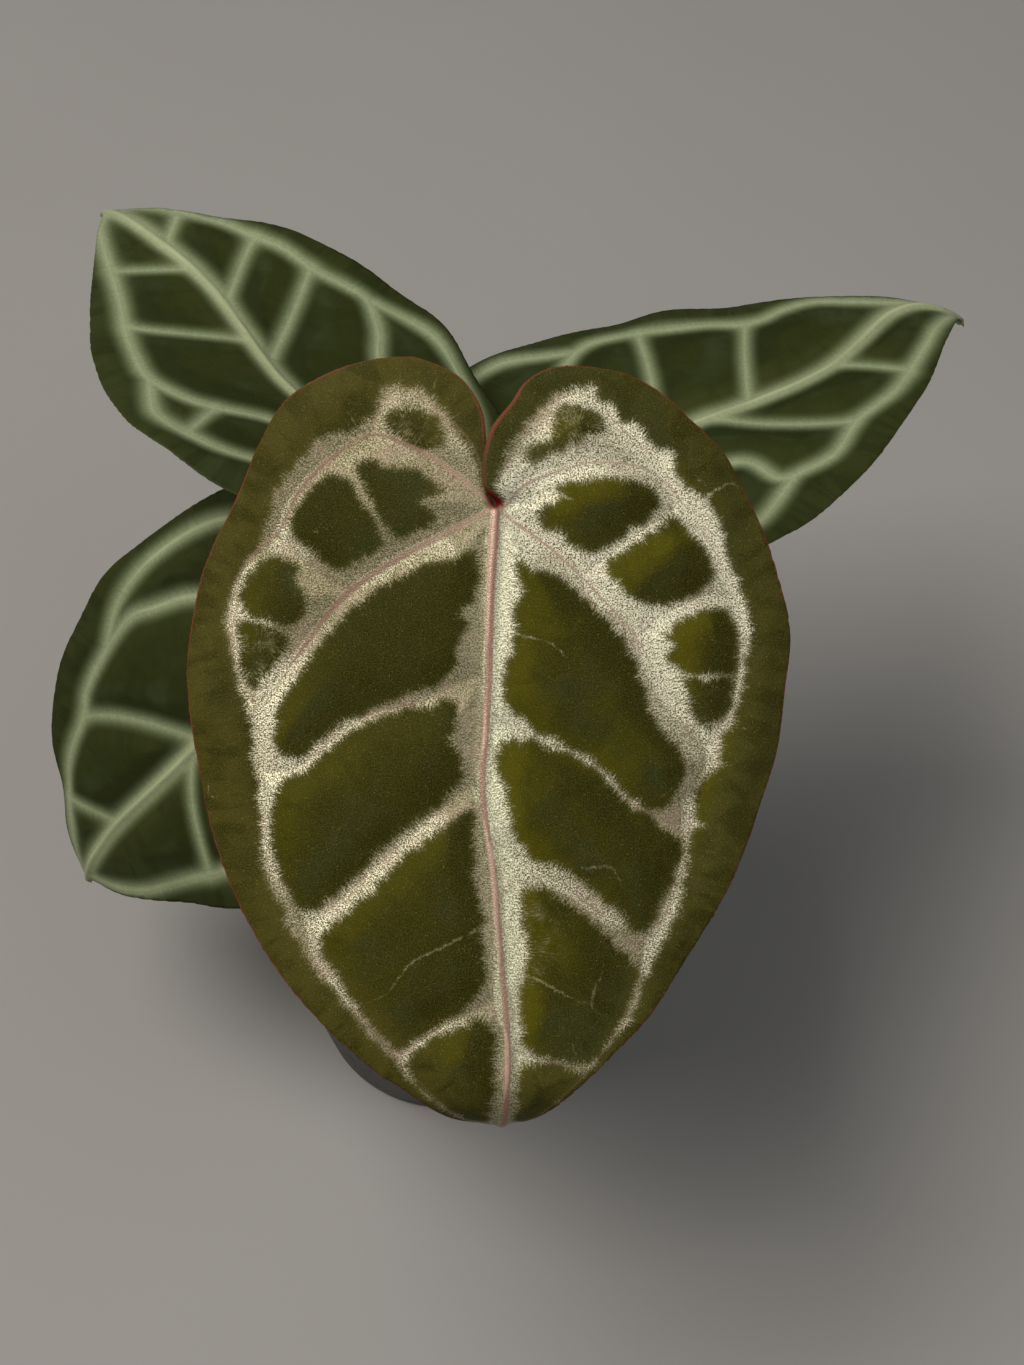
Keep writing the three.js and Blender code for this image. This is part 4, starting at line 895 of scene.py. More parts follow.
class BladeFinish(Finish):
    """A blade's material, with what the mesh carries for it and the noises that its colours share."""

    def __init__(self, name, look):
        super().__init__(name)
        self.look = look
        self.pattern = self.attribute("pattern", "Vector")
        self.foot = self.attribute("foot", "Vector")
        for key in BLADE_VALUES:
            setattr(self, key, self.attribute(key))
        # lit is painted light, from how squarely each point faced the key lamp
        self.lit = self.rise(self.attribute("key_light_facing"), 0.5, 0.76)
        self.across = self.add("ShaderNodeSeparateXYZ", None, {0: self.pattern}, out="X")

        # The hairs run straight out from the edge of the silver
        self.hairs = self.noise(self.between(self.foot, self.pattern, 0.22), look["streak"], 1.5, 0.6)
        self.tufts = self.noise(self.foot, 0.3, 2)
        self.grain = self.noise(self.pattern, look["grain"], 1.5, 0.6)
        self.dots = self.noise(self.pattern, 5.2, 1, 0.6)
        self.drift = self.noise(self.pattern, 0.05, 1.5, 0.5)
        self.clouds = self.noise(self.pattern, 0.13, 2)
        self.ribs = self.fall(self.net(self.pattern, 0.3), 0.0, 0.06)

        # Painted light on the young leaf: painted shade over its left lobe, which lies away from the light,
        # and painted light on its right shoulder, which lies towards it
        long = self.stretched(self.pattern, (1, 0.6, 1))
        self.shaded_left_lobe = self.near(long, (-21, -3, 0), 13, 36) * look["turned"]
        self.sunny = self.near(self.pattern, (26, -8, 0), 22, 58)
        far = self.rise(self.away(self.pattern, SEAT), 35, 80)
        self.reach = self.silver - far * look["inset"] - 0.15 + (self.tufts - 0.5) * look["feather"] * 0.5


def silver_cover(f):
    """Where silver lies: over the veins, thinning out into a fringe of hairs, in strewn cells and threads."""
    look, pattern = f.look, f.pattern
    frosted = f.near(pattern, (5, -90, 0), 5, 14) * look["turned"]
    patchy = f.rise(f.noise(pattern, 0.22, 2, 0.6), 0.3, 0.7) * 0.85 + (f.hairs - 0.5) * 1.5
    strewing = f.strewn.most(frosted * 1.1) * patchy
    cover = f.rise(f.reach, look["soft"] * -1.9, look["soft"] * 1.7).most(strewing)
    ragged = (f.hairs - 0.5) * f.rise(f.tufts, 0.32, 0.62) * look["feather"] * 0.32
    ragged = ragged + (f.grain - 0.5) * look["speckle"]
    plate = f.rise(cover + ragged * f.rise(f.reach, -3.2, -0.6).most(strewing), 0.1, 1.0)
    strand = f.rise(f.thread + (f.grain - 0.5) * 0.5, -0.1, 0.2)
    strand = strand * f.rise(f.noise(pattern, 0.6, 2), 0.34, 0.52)
    return plate.most(strand * 0.75)


def silver_colour(f):
    """Silver with painted sparkle, a painted shine towards the light and painted shade where it turns away,
    and duller where it thins out or clouds over.
    """
    look, pattern = f.look, f.pattern
    # Painted shade dulls the silver where the face turns away from the lamp: the shaded left lobe, slopes
    # facing right, the lower blade, the tip, the fold by the sinus and the strip left of the midrib. Painted
    # light brightens the right shoulder, slopes facing left and the outer left.
    turned = f.shaded_left_lobe * 1.7 + f.rise(0 - f.facing_left, 0.02, 0.26) * look["turned"] * 1.3
    painted_shine = f.sunny * look["turned"] * 1.4 + f.rise(f.facing_left, 0.05, 0.35) * look["turned"] * 0.6
    lower = f.rise(f.away(pattern, (6, 6, 0)), 66, 100) * look["turned"] * 0.4
    tip = f.rise(f.away(pattern, SEAT), 121, 132) * look["turned"] * 2
    folded_shade = f.near(pattern, (6, 17, 0), 5, 15) * look["turned"] * 2.4
    thinned = f.fall(f.reach, -0.5, 2.2)
    # The dullness is partly real, where the silver thins out or clouds over, and partly painted shade, where
    # the face turns away from the key lamp
    dull_and_shade = (1 - f.lit) * 0.4 + f.rise(f.clouds, 0.42, 0.62) * 0.3 + thinned * 0.5 + folded_shade
    patches = f.noise(pattern, 0.4, 2)
    beside_midrib_shade = f.fall(f.across, -4, -1) * f.fall(f.midrib, 4, 9)
    outer_left_light = f.near(pattern, (-50, -56, 0), 12, 34)
    dull_and_shade = dull_and_shade + ((patches - 0.5) * 1.2 + beside_midrib_shade - outer_left_light * 1.7) * look["turned"]
    dull_and_shade = (dull_and_shade + turned + lower + tip - painted_shine).least(1.0).most(0.0)
    silk = f.grain * 0.56 + f.dots * 0.2 + f.hairs * 0.24 + painted_shine * 0.03
    pale = f.mix(f.rise(silk, 0.42, 0.56) * (1 - dull_and_shade * 0.6), look["deep"], look["silver"])
    pale = f.mix(f.rise(f.clouds, 0.45, 0.62) * 0.35, pale, look["pinkish"])
    pale = f.mix(f.fall(f.midrib, 2, 7) * (1 - dull_and_shade * 0.8) * 0.5, pale, look["midrib_silver"])
    # Painted glints: bright specks of the silver grain, fewer where the silver is dull or in painted shade
    painted_glint = f.rise(silk, 0.5, 0.59) * (1 - dull_and_shade * 0.8)
    pale = f.mix(painted_glint * look["sparkling"], pale, look["sparkle"])
    # Painted shade: the deep colour over the parts turned away from the lamp
    pale = f.mix(turned.least(1.0) * 0.34, pale, look["deep"])
    return f.mix(f.fall(f.reach, -1.4, 1.1) * 0.7, pale, look["fringe"])


def green_colour(f):
    """Green with painted light: yellower where the face turns towards the lamp, with a painted slate sheen
    and painted shade where it turns away, mottled and specked with painted glints.
    """
    look, pattern, edge, facing_left = f.look, f.pattern, f.edge, f.facing_left
    away = f.rise(0 - f.silver, 0.4, 6)
    right = f.rise(f.across, -14, 2)
    # Painted light: yellower where the face turns towards the lamp, over a drifting yellow tone
    yellowing_and_light = f.rise(facing_left + f.facing_top * 0.6 + (f.drift - 0.5) * 0.5 + f.sunny * 0.1, -0.1, 0.42)
    yellowing_and_light = yellowing_and_light * (0.5 + right * 0.5) * (1 - f.rise(away, 0.8, 1) * 0.3) * (1 - f.shaded_left_lobe * 1.6)
    # Painted light: a yellower band just right of the midrib
    lit_band = f.rise(f.across, -2, 3) * f.fall(f.across, 6, 25) * f.rise(f.drift, 0.3, 0.56) * look["turned"]
    green = f.mix(yellowing_and_light.most(lit_band * 1.5), look["olive"], look["yellow"])
    # Painted sheen: a slate haze that follows the slopes of the quilted face, over a random slate tone
    sheen_haze = (f.noise(pattern, 0.07, 2, 0.5) - 0.5) * 1.1 - f.facing_top * 0.7 - facing_left * 0.3
    sheen_haze = f.rise(sheen_haze, -0.05, 0.3)
    green = f.mix(sheen_haze * (0.25 + away * 0.55), green, look["slate"])
    # Painted shade: dark where the face turns away from the lamp, with a ragged edge
    turned_away_shade = f.rise((f.noise(pattern, 0.09, 2, 0.6) - 0.5) * 0.7 - facing_left, 0.03, 0.32)
    green = f.mix(turned_away_shade * 0.85, green, look["shade"])
    # Painted shade over the left lobe
    green = f.mix(f.shaded_left_lobe * f.rise(edge, 9, 14), green, look["shade"])
    # Painted sheen and painted shade in the pocket of the left lobe: slate on the slopes facing right, dark
    # on those facing left
    pocket = f.near(pattern, (-32, 0, 0), 16, 24) * f.rise(edge, 10, 13) * look["turned"]
    green = f.mix(pocket * f.rise(0 - facing_left, -0.02, 0.16) * 1.5, green, look["slate"])
    green = f.mix(pocket * f.rise(facing_left, -0.02, 0.16) * 1.8, green, look["shade"])
    # The rim: a painted slate sheen, stronger on the right half
    outer = f.mix(right * (0.25 + sheen_haze * 0.5), look["rim"], look["slate"])
    green = f.mix(f.fall(edge, 8, 14), green, outer)
    mottle = f.rise(f.noise(pattern, 0.09, 3, 0.6), 0.46, 0.66) * (0.2 + f.fall(edge, 8, 12) * 0.3)
    green = f.mix(mottle, green, look["shade"])
    # Painted shade: darker wedges that run straight out from the silver, in the folds of the margin
    fold_shade_wedges = f.rise(f.noise(f.between(f.foot, pattern, 0.2), 0.22, 2, 0.6), 0.48, 0.62)
    fold_shade_wedges = fold_shade_wedges * f.rise(0 - f.silver, 0.5, 3)
    green = f.mix(fold_shade_wedges * (0.3 + f.fall(edge, 8, 13) * 0.3), green, look["shade"])
    green = f.mix(f.ribs * 0.03, green, look["thread"])
    # Fine pale grain, in the colour of the painted glints
    green = f.mix(f.rise(f.noise(pattern, 3.2, 2, 0.7), 0.4, 0.6) * 0.12, green, look["glint_specks"])
    # Painted glints: tiny bright specks over the green
    glint_specks = f.fall(f.specks(pattern, 1.4), 0.07, 0.18) * f.rise(f.noise(pattern, 0.9, 1), 0.38, 0.56)
    return f.mix(glint_specks * (0.65 - away * 0.15) * look["sparkling"], green, look["glint_specks"])


def draw_veins(f, top, crest):
    """Draws the fine lines of the veins and the crest of the midrib over the colour of the upper face, with
    painted light and shade on them.
    """
    look, pattern = f.look, f.pattern
    side_line = f.fall(f.side + (f.grain - 0.5) * 0.3, 0.0, 0.42)
    top = f.mix(side_line * 0.45 * look["line_share"], top, look["line"])
    worn = f.rise(f.noise(f.foot, 0.12, 2), 0.3, 0.55) * 0.4 + 0.6
    # Lines narrow away from the stalk; near the left main vein they widen, partly real width and partly
    # painted shade in its groove
    slender = f.rise(f.away(pattern, SEAT), 8, 70) * 0.3 - f.near(pattern, (-24, -14, 0), 20, 34) * 0.4
    line = f.fall(f.vein + (f.grain - 0.5) * 0.7 + slender, 0.08, 0.56)
    # Painted light: the lines are paler where the face turns towards the lamp
    line_colour = f.mix(f.sunny if look["turned"] else f.lit, look["line"], look["lit_line"])
    top = f.mix(line * worn * look["line_share"], top, line_colour)
    # Painted highlight on the left flank of the midrib's crest and painted shade on its right flank
    shaded = f.rise(f.facing_left, -0.09, 0.06)
    crest_colour = f.mix(f.lit * (1 - shaded * 0.8), look["crest"], look["lit_crest"])
    return f.mix(crest * look["line_share"], top, crest_colour)


def underside_colour(f, margin):
    """The plainer green underneath, with its raised veins."""
    look = f.look
    raised = f.fall(f.vein.least(f.side), 0.6, 1.5)
    below = f.mix(f.rise(f.clouds, 0.4, 0.6) * 0.4, look["under"], look["rim"])
    below = f.mix(f.ribs * 0.3, below, look["under_vein"])
    below = f.mix(raised * 0.9, below, look["under_vein"])
    return f.mix(margin * look["red"], below, look["margin"])


def blade_finish(name, look):
    """Velvety green between feathered silver veins, redder at the margin, with a plainer underside."""
    f = BladeFinish(name, look)
    pattern = f.pattern
    silvered = silver_cover(f)
    crest = f.fall(f.midrib - f.near(pattern, SEAT, 5, 60) * 0.35, 0.4, 0.85)
    top = draw_veins(f, f.mix(silvered, green_colour(f), silver_colour(f)), crest)
    sinus = f.near(pattern, (1.2, 13, 0), 10, 15)
    margin = f.fall(f.edge, 0.15 + sinus * 0.35, 0.4 + sinus * 0.6)
    uneven = f.rise(f.noise(pattern, 0.05, 1), 0.36, 0.56)
    top = f.mix(margin * (0.3 + uneven * 0.5) * look["red"], top, look["margin"])
    top = f.mix(f.near(pattern, (0.2, 1.4, 0), 0.8, 3.0) * look["red"], top, look["spot"])
    height = (f.grain * 0.6 + f.dots * 0.4 - 0.5) * (silvered * 0.14 + 0.03) - f.ribs * 0.02
    height = height + (f.noise(pattern, 0.7, 2) - 0.5) * 0.05
    sockets = {
        "Base Color": f.mix(f.under, top, underside_colour(f, margin)),
        "Metallic": silvered * (1 - f.under) * look["metal"],
        "Roughness": 0.62 - silvered * 0.14 - crest * 0.12,
        "Normal": f.bump(height),
        "Specular IOR Level": 0.05,
    }
    return f.surface(sockets)


# Stalks: places and sizes in millimetres. A reach is how far a stalk runs straight down from its blade.
CROWN_TOP = 101
STALK_FOOT = 2.9
STALK = 1.8
STALK_KNEE = 2.3
STALKS = {
    "front": {"foot": (5, -4.5), "via": [(7.5, -5.5, 112), (10.5, -4, 150), (14.5, 3, 196)], "reach": 14},
    "back_left": {"foot": (0, 5.5), "via": [(3, 6.5, 114), (5, 5, 148), (4.5, 7, 176), (-1.5, 17, 192)],
                  "reach": 5},
    "back_right": {"foot": (6, 2), "via": [(11, 8, 113), (16, 20, 138), (18.5, 36, 158)], "reach": 9},
    "left": {"foot": (-4.5, 0), "via": [(-8, 4, 106), (-15, 14, 121), (-23, 24.5, 133)], "reach": 5},
}


def even_route(points, count):
    """Points at an even step along a curve that doesn't overshoot the given ones."""
    points = np.array(points, float)
    points = np.concatenate([[2 * points[0] - points[1]], points, [2 * points[-1] - points[-2]]])
    pieces = []
    for a, b, c, d in zip(points, points[1:], points[2:], points[3:]):
        before, here, after = (np.sqrt(np.linalg.norm(q - p)) for p, q in ((a, b), (b, c), (c, d)))
        start = ((b - a) / before - (c - a) / (before + here) + (c - b) / here) * here
        end = ((c - b) / here - (d - b) / (here + after) + (d - c) / after) * here
        pieces.append(curve_between(b, c, start, end, 24))
    return even_points(np.concatenate([*pieces, points[-2:-1]]), count=count)


def choose(*pieces):
    """Selects these pieces alone, the last one active."""
    bpy.ops.object.select_all(action="DESELECT")
    for piece in pieces:
        piece.select_set(True)
    bpy.context.view_layer.objects.active = pieces[-1]


def start_disc(name, sides, radius, height):
    """A round face at a height in millimetres, selected in edit mode and ready to be drawn up."""
    bpy.ops.object.select_all(action="DESELECT")
    bpy.ops.mesh.primitive_circle_add(
        vertices=sides, radius=radius * MM, location=(0, 0, height * MM), fill_type="NGON"
    )
    disc = bpy.context.object
    disc.name = name
    bpy.ops.object.mode_set(mode="EDIT")
    bpy.ops.mesh.select_mode(type="FACE")
    bpy.ops.mesh.select_all(action="SELECT")
    return disc


def draw_up(up, share):
    """Draws the selected faces up by a number of millimetres and widens them by a share."""
    bpy.ops.mesh.extrude_region_move(TRANSFORM_OT_translate={"value": (0, 0, up * MM)})
    bpy.ops.transform.resize(value=(share, share, 1))


def settle(piece):
    """Puts the piece's place into its mesh."""
    choose(piece)
    bpy.ops.object.transform_apply(location=True, rotation=True, scale=True)


def carry_out(piece, modifier):
    """Carries a modifier out on the piece's mesh."""
    choose(piece)
    bpy.ops.object.modifier_apply(modifier=modifier.name)


def tidy_shell(piece, angle=None):
    """Merges doubled vertices, turns the faces outwards and shades the piece smooth below an angle."""
    choose(piece)
    bpy.ops.object.mode_set(mode="EDIT")
    bpy.ops.mesh.select_all(action="SELECT")
    bpy.ops.mesh.remove_doubles(threshold=0.00001)
    bpy.ops.mesh.normals_make_consistent(inside=False)
    bpy.ops.object.mode_set(mode="OBJECT")
    if angle is None:
        bpy.ops.object.shade_smooth()
    else:
        bpy.ops.object.shade_smooth_by_angle(angle=math.radians(angle))


def rod(name, route, radii, finish):
    """A round rod of changing thickness along a route. It carries the share of its length as "along"."""
    curve = bpy.data.curves.new(name, "CURVE")
    curve.dimensions = "3D"
    curve.bevel_depth = MM
    curve.bevel_resolution = 6
    curve.use_fill_caps = True
    spline = curve.splines.new("POLY")
    spline.points.add(len(route) - 1)
    for point, place, radius in zip(spline.points, route, radii):
        point.co = (*(place * MM), 1)
        point.radius = radius
    piece = bpy.data.objects.new(name, curve)
    bpy.context.collection.objects.link(piece)
    choose(piece)
    bpy.ops.object.convert(target="MESH")
    piece = bpy.context.object
    piece.data.materials.clear()
    piece.data.materials.append(finish)
    tidy_shell(piece)
    mesh = piece.data
    places = np.empty(len(mesh.vertices) * 3)
    mesh.vertices.foreach_get("co", places)
    gaps = np.linalg.norm(places.reshape(-1, 1, 3) / MM - route[None], axis=2)
    keep_values(mesh, "along", gaps.argmin(1) / (len(route) - 1))
    return piece


def make_stalk(leaf, finish):
    """A stalk from the crown to the leaf, with a sheath at its foot and a ringed knee under the blade."""
    stalk = STALKS[leaf["name"]]
    depths = (-0.6, -1.7, -1.7 - stalk["reach"] / 3, -1.7 - stalk["reach"])
    middle, seat, entry, turn = bend_blade(leaf, np.array([(0, -2.6)] * 4), depths)
    route = even_route([(*stalk["foot"], CROWN_TOP - 9), *stalk["via"], turn, entry, seat, middle], 90)
    t = np.linspace(0, 1, len(route))
    sheath = (STALK_FOOT - STALK) * np.exp(-9 * t)
    knee = (STALK_KNEE - STALK) * smoothstep(0.84, 0.91, t) * (1 - 0.5 * smoothstep(0.965, 1, t))
    rings = 0.05 * np.sin(260 * t) * smoothstep(0.86, 0.9, t) + 0.04 * np.sin(31 * t + 1)
    return rod("petiole_" + leaf["name"] + "_look", route, STALK + sheath + knee + rings, finish)


def stalk_finish(name, low, high, fleck, knee):
    """A fibrous stalk, sheathed and browner at the foot, flecked, and duller at the knee."""
    f = Finish(name)
    place = f.place()
    along = f.attribute("along")
    fibres = f.noise(f.stretched(place, (1.6, 1.6, 0.09)), 1.0, 3, 0.6)
    patches = f.noise(place, 0.06, 2)
    base = f.mix(f.rise(along + (patches - 0.5) * 0.5, 0.1, 0.8), low, high)
    base = f.mix((fibres - 0.5) * 1.2 + 0.25, base, fleck)
    flecks = f.fall(f.specks(f.stretched(place, (1, 1, 0.45)), 0.75), 0.1, 0.22)
    base = f.mix(flecks * 0.5, base, fleck)
    base = f.mix(f.fall(along, 0.04, 0.16) * 0.7, base, "#6d5a39")
    base = f.mix(f.rise(along, 0.86, 0.91) * 0.65, base, knee)
    height = (fibres - 0.5) * 0.14 + (f.noise(place, 1.8, 2) - 0.5) * 0.05
    return f.coat(base, 0.38 + (fibres - 0.5) * 0.3, height)


# Crown, roots and papery scales
STEM_BASE = 66
STEM_HEIGHT = 35
STEM_RADIUS = 8.5
STEM_BASE_RADIUS = 6.6
STEM_STEPS = 40
ROOTS = 6
SCALES = 4


def rolled(seed):
    """A repeatable row of numbers from 0 to 1."""
    state = seed
    while True:
        state = (state * 1664525 + 1013904223) % 4294967296
        yield state / 4294967296


def lumps(point):
    """Smooth bumps between -1 and 1."""
    x, y, z = point
    first = math.sin(1.7 * x + 0.9 * y) * math.sin(1.3 * y - 1.1 * z) * math.cos(1.1 * z + 0.7 * x)
    second = math.sin(3.1 * x - 2.3 * z + 1) * math.cos(2.7 * y + 1.9 * z)
    return 0.65 * first + 0.35 * second


def make_stem(finish):
    """The short stem, ringed by the scars of old leaves."""
    stem = start_disc("crown_look", 36, STEM_BASE_RADIUS, STEM_BASE)
    radius = STEM_BASE_RADIUS
    step = (0.025 * MM, 0.015 * MM, STEM_HEIGHT * MM / STEM_STEPS)
    for i in range(1, STEM_STEPS + 1):
        t = i / STEM_STEPS
        wanted = STEM_RADIUS * (0.72 + 0.28 * math.sin(math.pi * (0.15 + 0.7 * t)))
        wanted = wanted + 0.5 * math.sin(8 * math.pi * t)
        bpy.ops.mesh.extrude_region_move(TRANSFORM_OT_translate={"value": step})
        bpy.ops.transform.resize(value=(wanted / radius, wanted / radius, 1))
        radius = wanted
    for size in (0.86, 0.6, 0.3):
        bpy.ops.mesh.inset(thickness=radius * (1 - size) * 0.4 * MM)
        bpy.ops.transform.translate(value=(0, 0, 0.5 * MM))
    bpy.ops.object.mode_set(mode="OBJECT")
    settle(stem)
    shift = Vector((21.9, 9.3, 5.1))
    for vertex in stem.data.vertices:
        push = lumps(vertex.co / MM / 0.8 + shift)
        vertex.co += vertex.normal * push * 0.16 * MM
    tidy_shell(stem, 50)
    stem.data.materials.append(finish)
    return stem


def make_root(i, numbers, finish):
    """A thick root that arches out of the stem and down into the mix."""
    angle = 2 * math.pi * (i + 0.5 * next(numbers)) / ROOTS
    out = np.array((math.cos(angle), math.sin(angle), 0))
    reach = 15 + 6 * next(numbers)
    stops = [
        out * 4 + (0, 0, CROWN_TOP - 11 - 3 * next(numbers)),
        out * 10.5 + (0, 0, CROWN_TOP - 12),
        out * reach + (0, 0, 84.5),
        out * (reach + 1) + (0, 0, 74),
    ]
    route = even_route(stops, 26)
    t = np.linspace(0, 1, len(route))
    wobble = np.stack([np.sin(9 * t + i), np.cos(7 * t + 2 * i), 0 * t], 1) * 0.35
    return rod(f"root_{i}", route + wobble, 1.7 - 0.5 * t + 0.08 * np.sin(40 * t), finish)


def make_scale(name, angle, tall, finish):
    """A dry pointed scale leaf that hugs the crown and leans out at its tip."""
    bpy.ops.object.select_all(action="DESELECT")
    bpy.ops.mesh.primitive_grid_add(x_subdivisions=12, y_subdivisions=30, size=2)
    scale = bpy.context.object
    scale.name = name
    out = np.array((math.cos(angle), math.sin(angle), 0))
    aside = np.array((-math.sin(angle), math.cos(angle), 0))
    stops = [
        out * 6 + (0, 0, CROWN_TOP - 14),
        out * 8.6 + (0, 0, CROWN_TOP - 4),
        out * 10 + (0, 0, CROWN_TOP + tall * 0.45),
        out * 13.5 + (0, 0, CROWN_TOP + tall),
    ]
    route = even_route(stops, 60)
    for vertex in scale.data.vertices:
        across, t = vertex.co.x, min(1, max(0, (vertex.co.y + 1) / 2))
        width = 3.4 * math.sqrt(max(0.006, 1 - t)) * (1 + 0.05 * math.sin(17 * t + 3 * across))
        centre = route[round(t * (len(route) - 1))]
        hug = 1.5 * (1 - t * 0.6) * across**2
        frill = 0.25 * math.sin(11 * t + 4 * across) * abs(across)
        vertex.co = Vector((centre + aside * width * across - out * (hug + frill)) * MM)
    solidify = scale.modifiers.new("thickness", "SOLIDIFY")
    solidify.thickness = 0.3 * MM
    solidify.offset = 0
    carry_out(scale, solidify)
    tidy_shell(scale)
    scale.data.materials.append(finish)
    return scale


def make_crown(bark, root_skin, paper):
    """The stem with its roots and papery scales."""
    numbers = rolled(21)
    pieces = [make_stem(bark)]
    for i in range(ROOTS):
        pieces.append(make_root(i, numbers, root_skin))
    for i in range(SCALES):
        angle = 0.9 + 2 * math.pi * i / SCALES
        pieces.append(make_scale(f"scale_{i}", angle, 15 + 8 * next(numbers), paper))
    return pieces


def crown_finish():
    f = Finish("crown bark")
    place = f.place()
    rough = f.noise(place, 0.55, 4, 0.65)
    rings = f.noise(f.stretched(place, (0.12, 0.12, 0.9)), 1.0, 3)
    base = f.mix(f.rise(rough, 0.35, 0.65), "#3d2f1e", "#7a6444")
    base = f.mix(f.rise(rings, 0.5, 0.62) * 0.6, base, "#55603a")
    return f.coat(base, 0.72 + (rough - 0.5) * 0.3, (rough - 0.5) * 0.5 + (rings - 0.5) * 0.5)


def root_finish():
    f = Finish("root skin")
    place = f.place()
    felt = f.noise(place, 2.4, 3, 0.6)
    patches = f.noise(place, 0.22, 3)
    base = f.mix(f.rise(patches, 0.4, 0.6), "#a08a62", "#6c5636")
    base = f.mix(f.rise(felt, 0.5, 0.7) * 0.4, base, "#c3b48c")
    return f.coat(base, 0.8 - felt * 0.15, (felt - 0.5) * 0.2)


def paper_finish():
    f = Finish("papery scale")
    place = f.place()
    fibres = f.noise(f.stretched(place, (2.2, 2.2, 0.12)), 1.0, 3, 0.65)
    patches = f.noise(place, 0.2, 3)
    base = f.mix(f.rise(fibres, 0.35, 0.65), "#8d6a43", "#c19f70")
    base = f.mix(f.rise(patches, 0.5, 0.66) * 0.7, base, "#5e4027")
    return f.coat(base, 0.6 + (fibres - 0.5) * 0.3, (fibres - 0.5) * 0.25)


# Bark mix: millimetres throughout
MIX_BASE = 2.2
MIX_BASE_RADIUS = 36.8
MIX_STEPS = [(40, 42.1), (37.8, 47.4), (3.6, 47.5)]  # how far each step rises, and the radius at its top
MIX_RINGS = 22  # rings that close the top
MIX_LEVEL = 82.5
GOLDEN_ANGLE = 2.39996
CHIPS = [(11, 6, 3), (9, 7, 2.6), (8, 4, 3.4), (12, 5, 2.4), (7, 6, 4)]


def make_compost(finish):
    """The body of the mix: it fills the pot up to a lumpy top."""
    compost = start_disc("compost", 96, MIX_BASE_RADIUS, MIX_BASE)
    radius = MIX_BASE_RADIUS
    for up, wanted in MIX_STEPS:
        draw_up(up, wanted / radius)
        radius = wanted
    for i in range(MIX_RINGS):
        draw_up(0.35 if i < 4 else 0.02, (MIX_RINGS - i) / (MIX_RINGS + 1 - i))
    bpy.ops.object.mode_set(mode="OBJECT")
    settle(compost)
    for vertex in compost.data.vertices:
        x, y, z = vertex.co / MM
        if z > MIX_LEVEL:
            push = 1.3 * lumps((x / 4.2, y / 4.2, 3)) + 0.6 * lumps((x / 1.7, y / 1.7, 8))
            push = push + 0.02 * (47 - math.hypot(x, y))
            vertex.co.z += push * MM
    tidy_shell(compost, 60)
    compost.data.materials.append(finish)
    return compost


def make_lump(name, size, rough, seed, round_stone=False):
    """One chip or grain, to be copied."""
    dice = random.Random(seed)
    bpy.ops.object.select_all(action="DESELECT")
    if round_stone:
        bpy.ops.mesh.primitive_ico_sphere_add(subdivisions=2, radius=1)
    else:
        bpy.ops.mesh.primitive_cube_add(size=2)
        bpy.ops.object.mode_set(mode="EDIT")
        bpy.ops.mesh.subdivide(number_cuts=1, smoothness=0.35)
        bpy.ops.object.mode_set(mode="OBJECT")
    lump = bpy.context.object
    lump.name = name
    for vertex in lump.data.vertices:
        vertex.co += Vector([dice.uniform(-rough, rough) for _ in range(3)])
        vertex.co = Vector([c * s / 2 for c, s in zip(vertex.co, size)]) * MM
    return lump


def scatter(name, models, count, spread, height, seed, finish, low=0.7, high=1.3, tilt=0.6):
    """Copies of the models over the top of the mix, between two radii, joined into one piece."""
    dice = random.Random(seed)
    inner, outer = spread
    copies = []
    for i in range(count):
        model = models[i % len(models)]
        copy = model.copy()
        copy.data = model.data.copy()
        bpy.context.collection.objects.link(copy)
        far = math.sqrt(dice.uniform(inner**2, outer**2))
        angle = i * GOLDEN_ANGLE + dice.uniform(-0.3, 0.3)
        size = dice.uniform(low, high)
        copy.scale = (size, size, size)
        turns = (dice.uniform(-tilt, tilt), dice.uniform(-tilt, tilt), dice.uniform(0, 6.28))
        copy.rotation_euler = Euler(turns)
        place = (far * math.cos(angle), far * math.sin(angle), height + dice.uniform(-0.8, 1.0))
        copy.location = Vector(place) * MM
        copies.append(copy)
    choose(*copies)
    bpy.ops.object.join()
    piece = bpy.context.object
    piece.name = name
    settle(piece)
    bpy.ops.object.shade_smooth_by_angle(angle=math.radians(38))
    piece.data.materials.clear()
    piece.data.materials.append(finish)
    for model in models:
        bpy.data.objects.remove(model)
    return piece


def make_mix(compost, bark, stone):
    """The mix: its body, with bark chips, bark crumbs and pumice on top."""
    chips = [make_lump(f"chip_{i}", size, 0.22, 31 + i) for i, size in enumerate(CHIPS)]
    crumbs = [make_lump(f"crumb_{i}", (4, 2.6, 1.8), 0.3, 51 + i) for i in range(4)]
    grains = [make_lump(f"grain_{i}", (3.4, 3, 2.8), 0.14, 71 + i, round_stone=True) for i in range(3)]
    return [
        make_compost(compost),
        scatter("bark_chips", chips, 150, (9, 42.5), 84.6, 3, bark),
        scatter("bark_crumbs", crumbs, 420, (8.5, 46), 84.3, 4, bark, 0.5, 1.25, 1.5),
        scatter("pumice", grains, 46, (10, 45), 85.0, 5, stone, 0.5, 1.2, 3),
    ]


def compost_finish():
    f = Finish("compost")
    crumbs = f.noise(f.place(), 0.9, 5, 0.7)
    base = f.mix(f.rise(crumbs, 0.35, 0.7), "#1c130c", "#4a3424")
    return f.coat(base, 0.95 - crumbs * 0.1, (crumbs - 0.5) * 1.2)


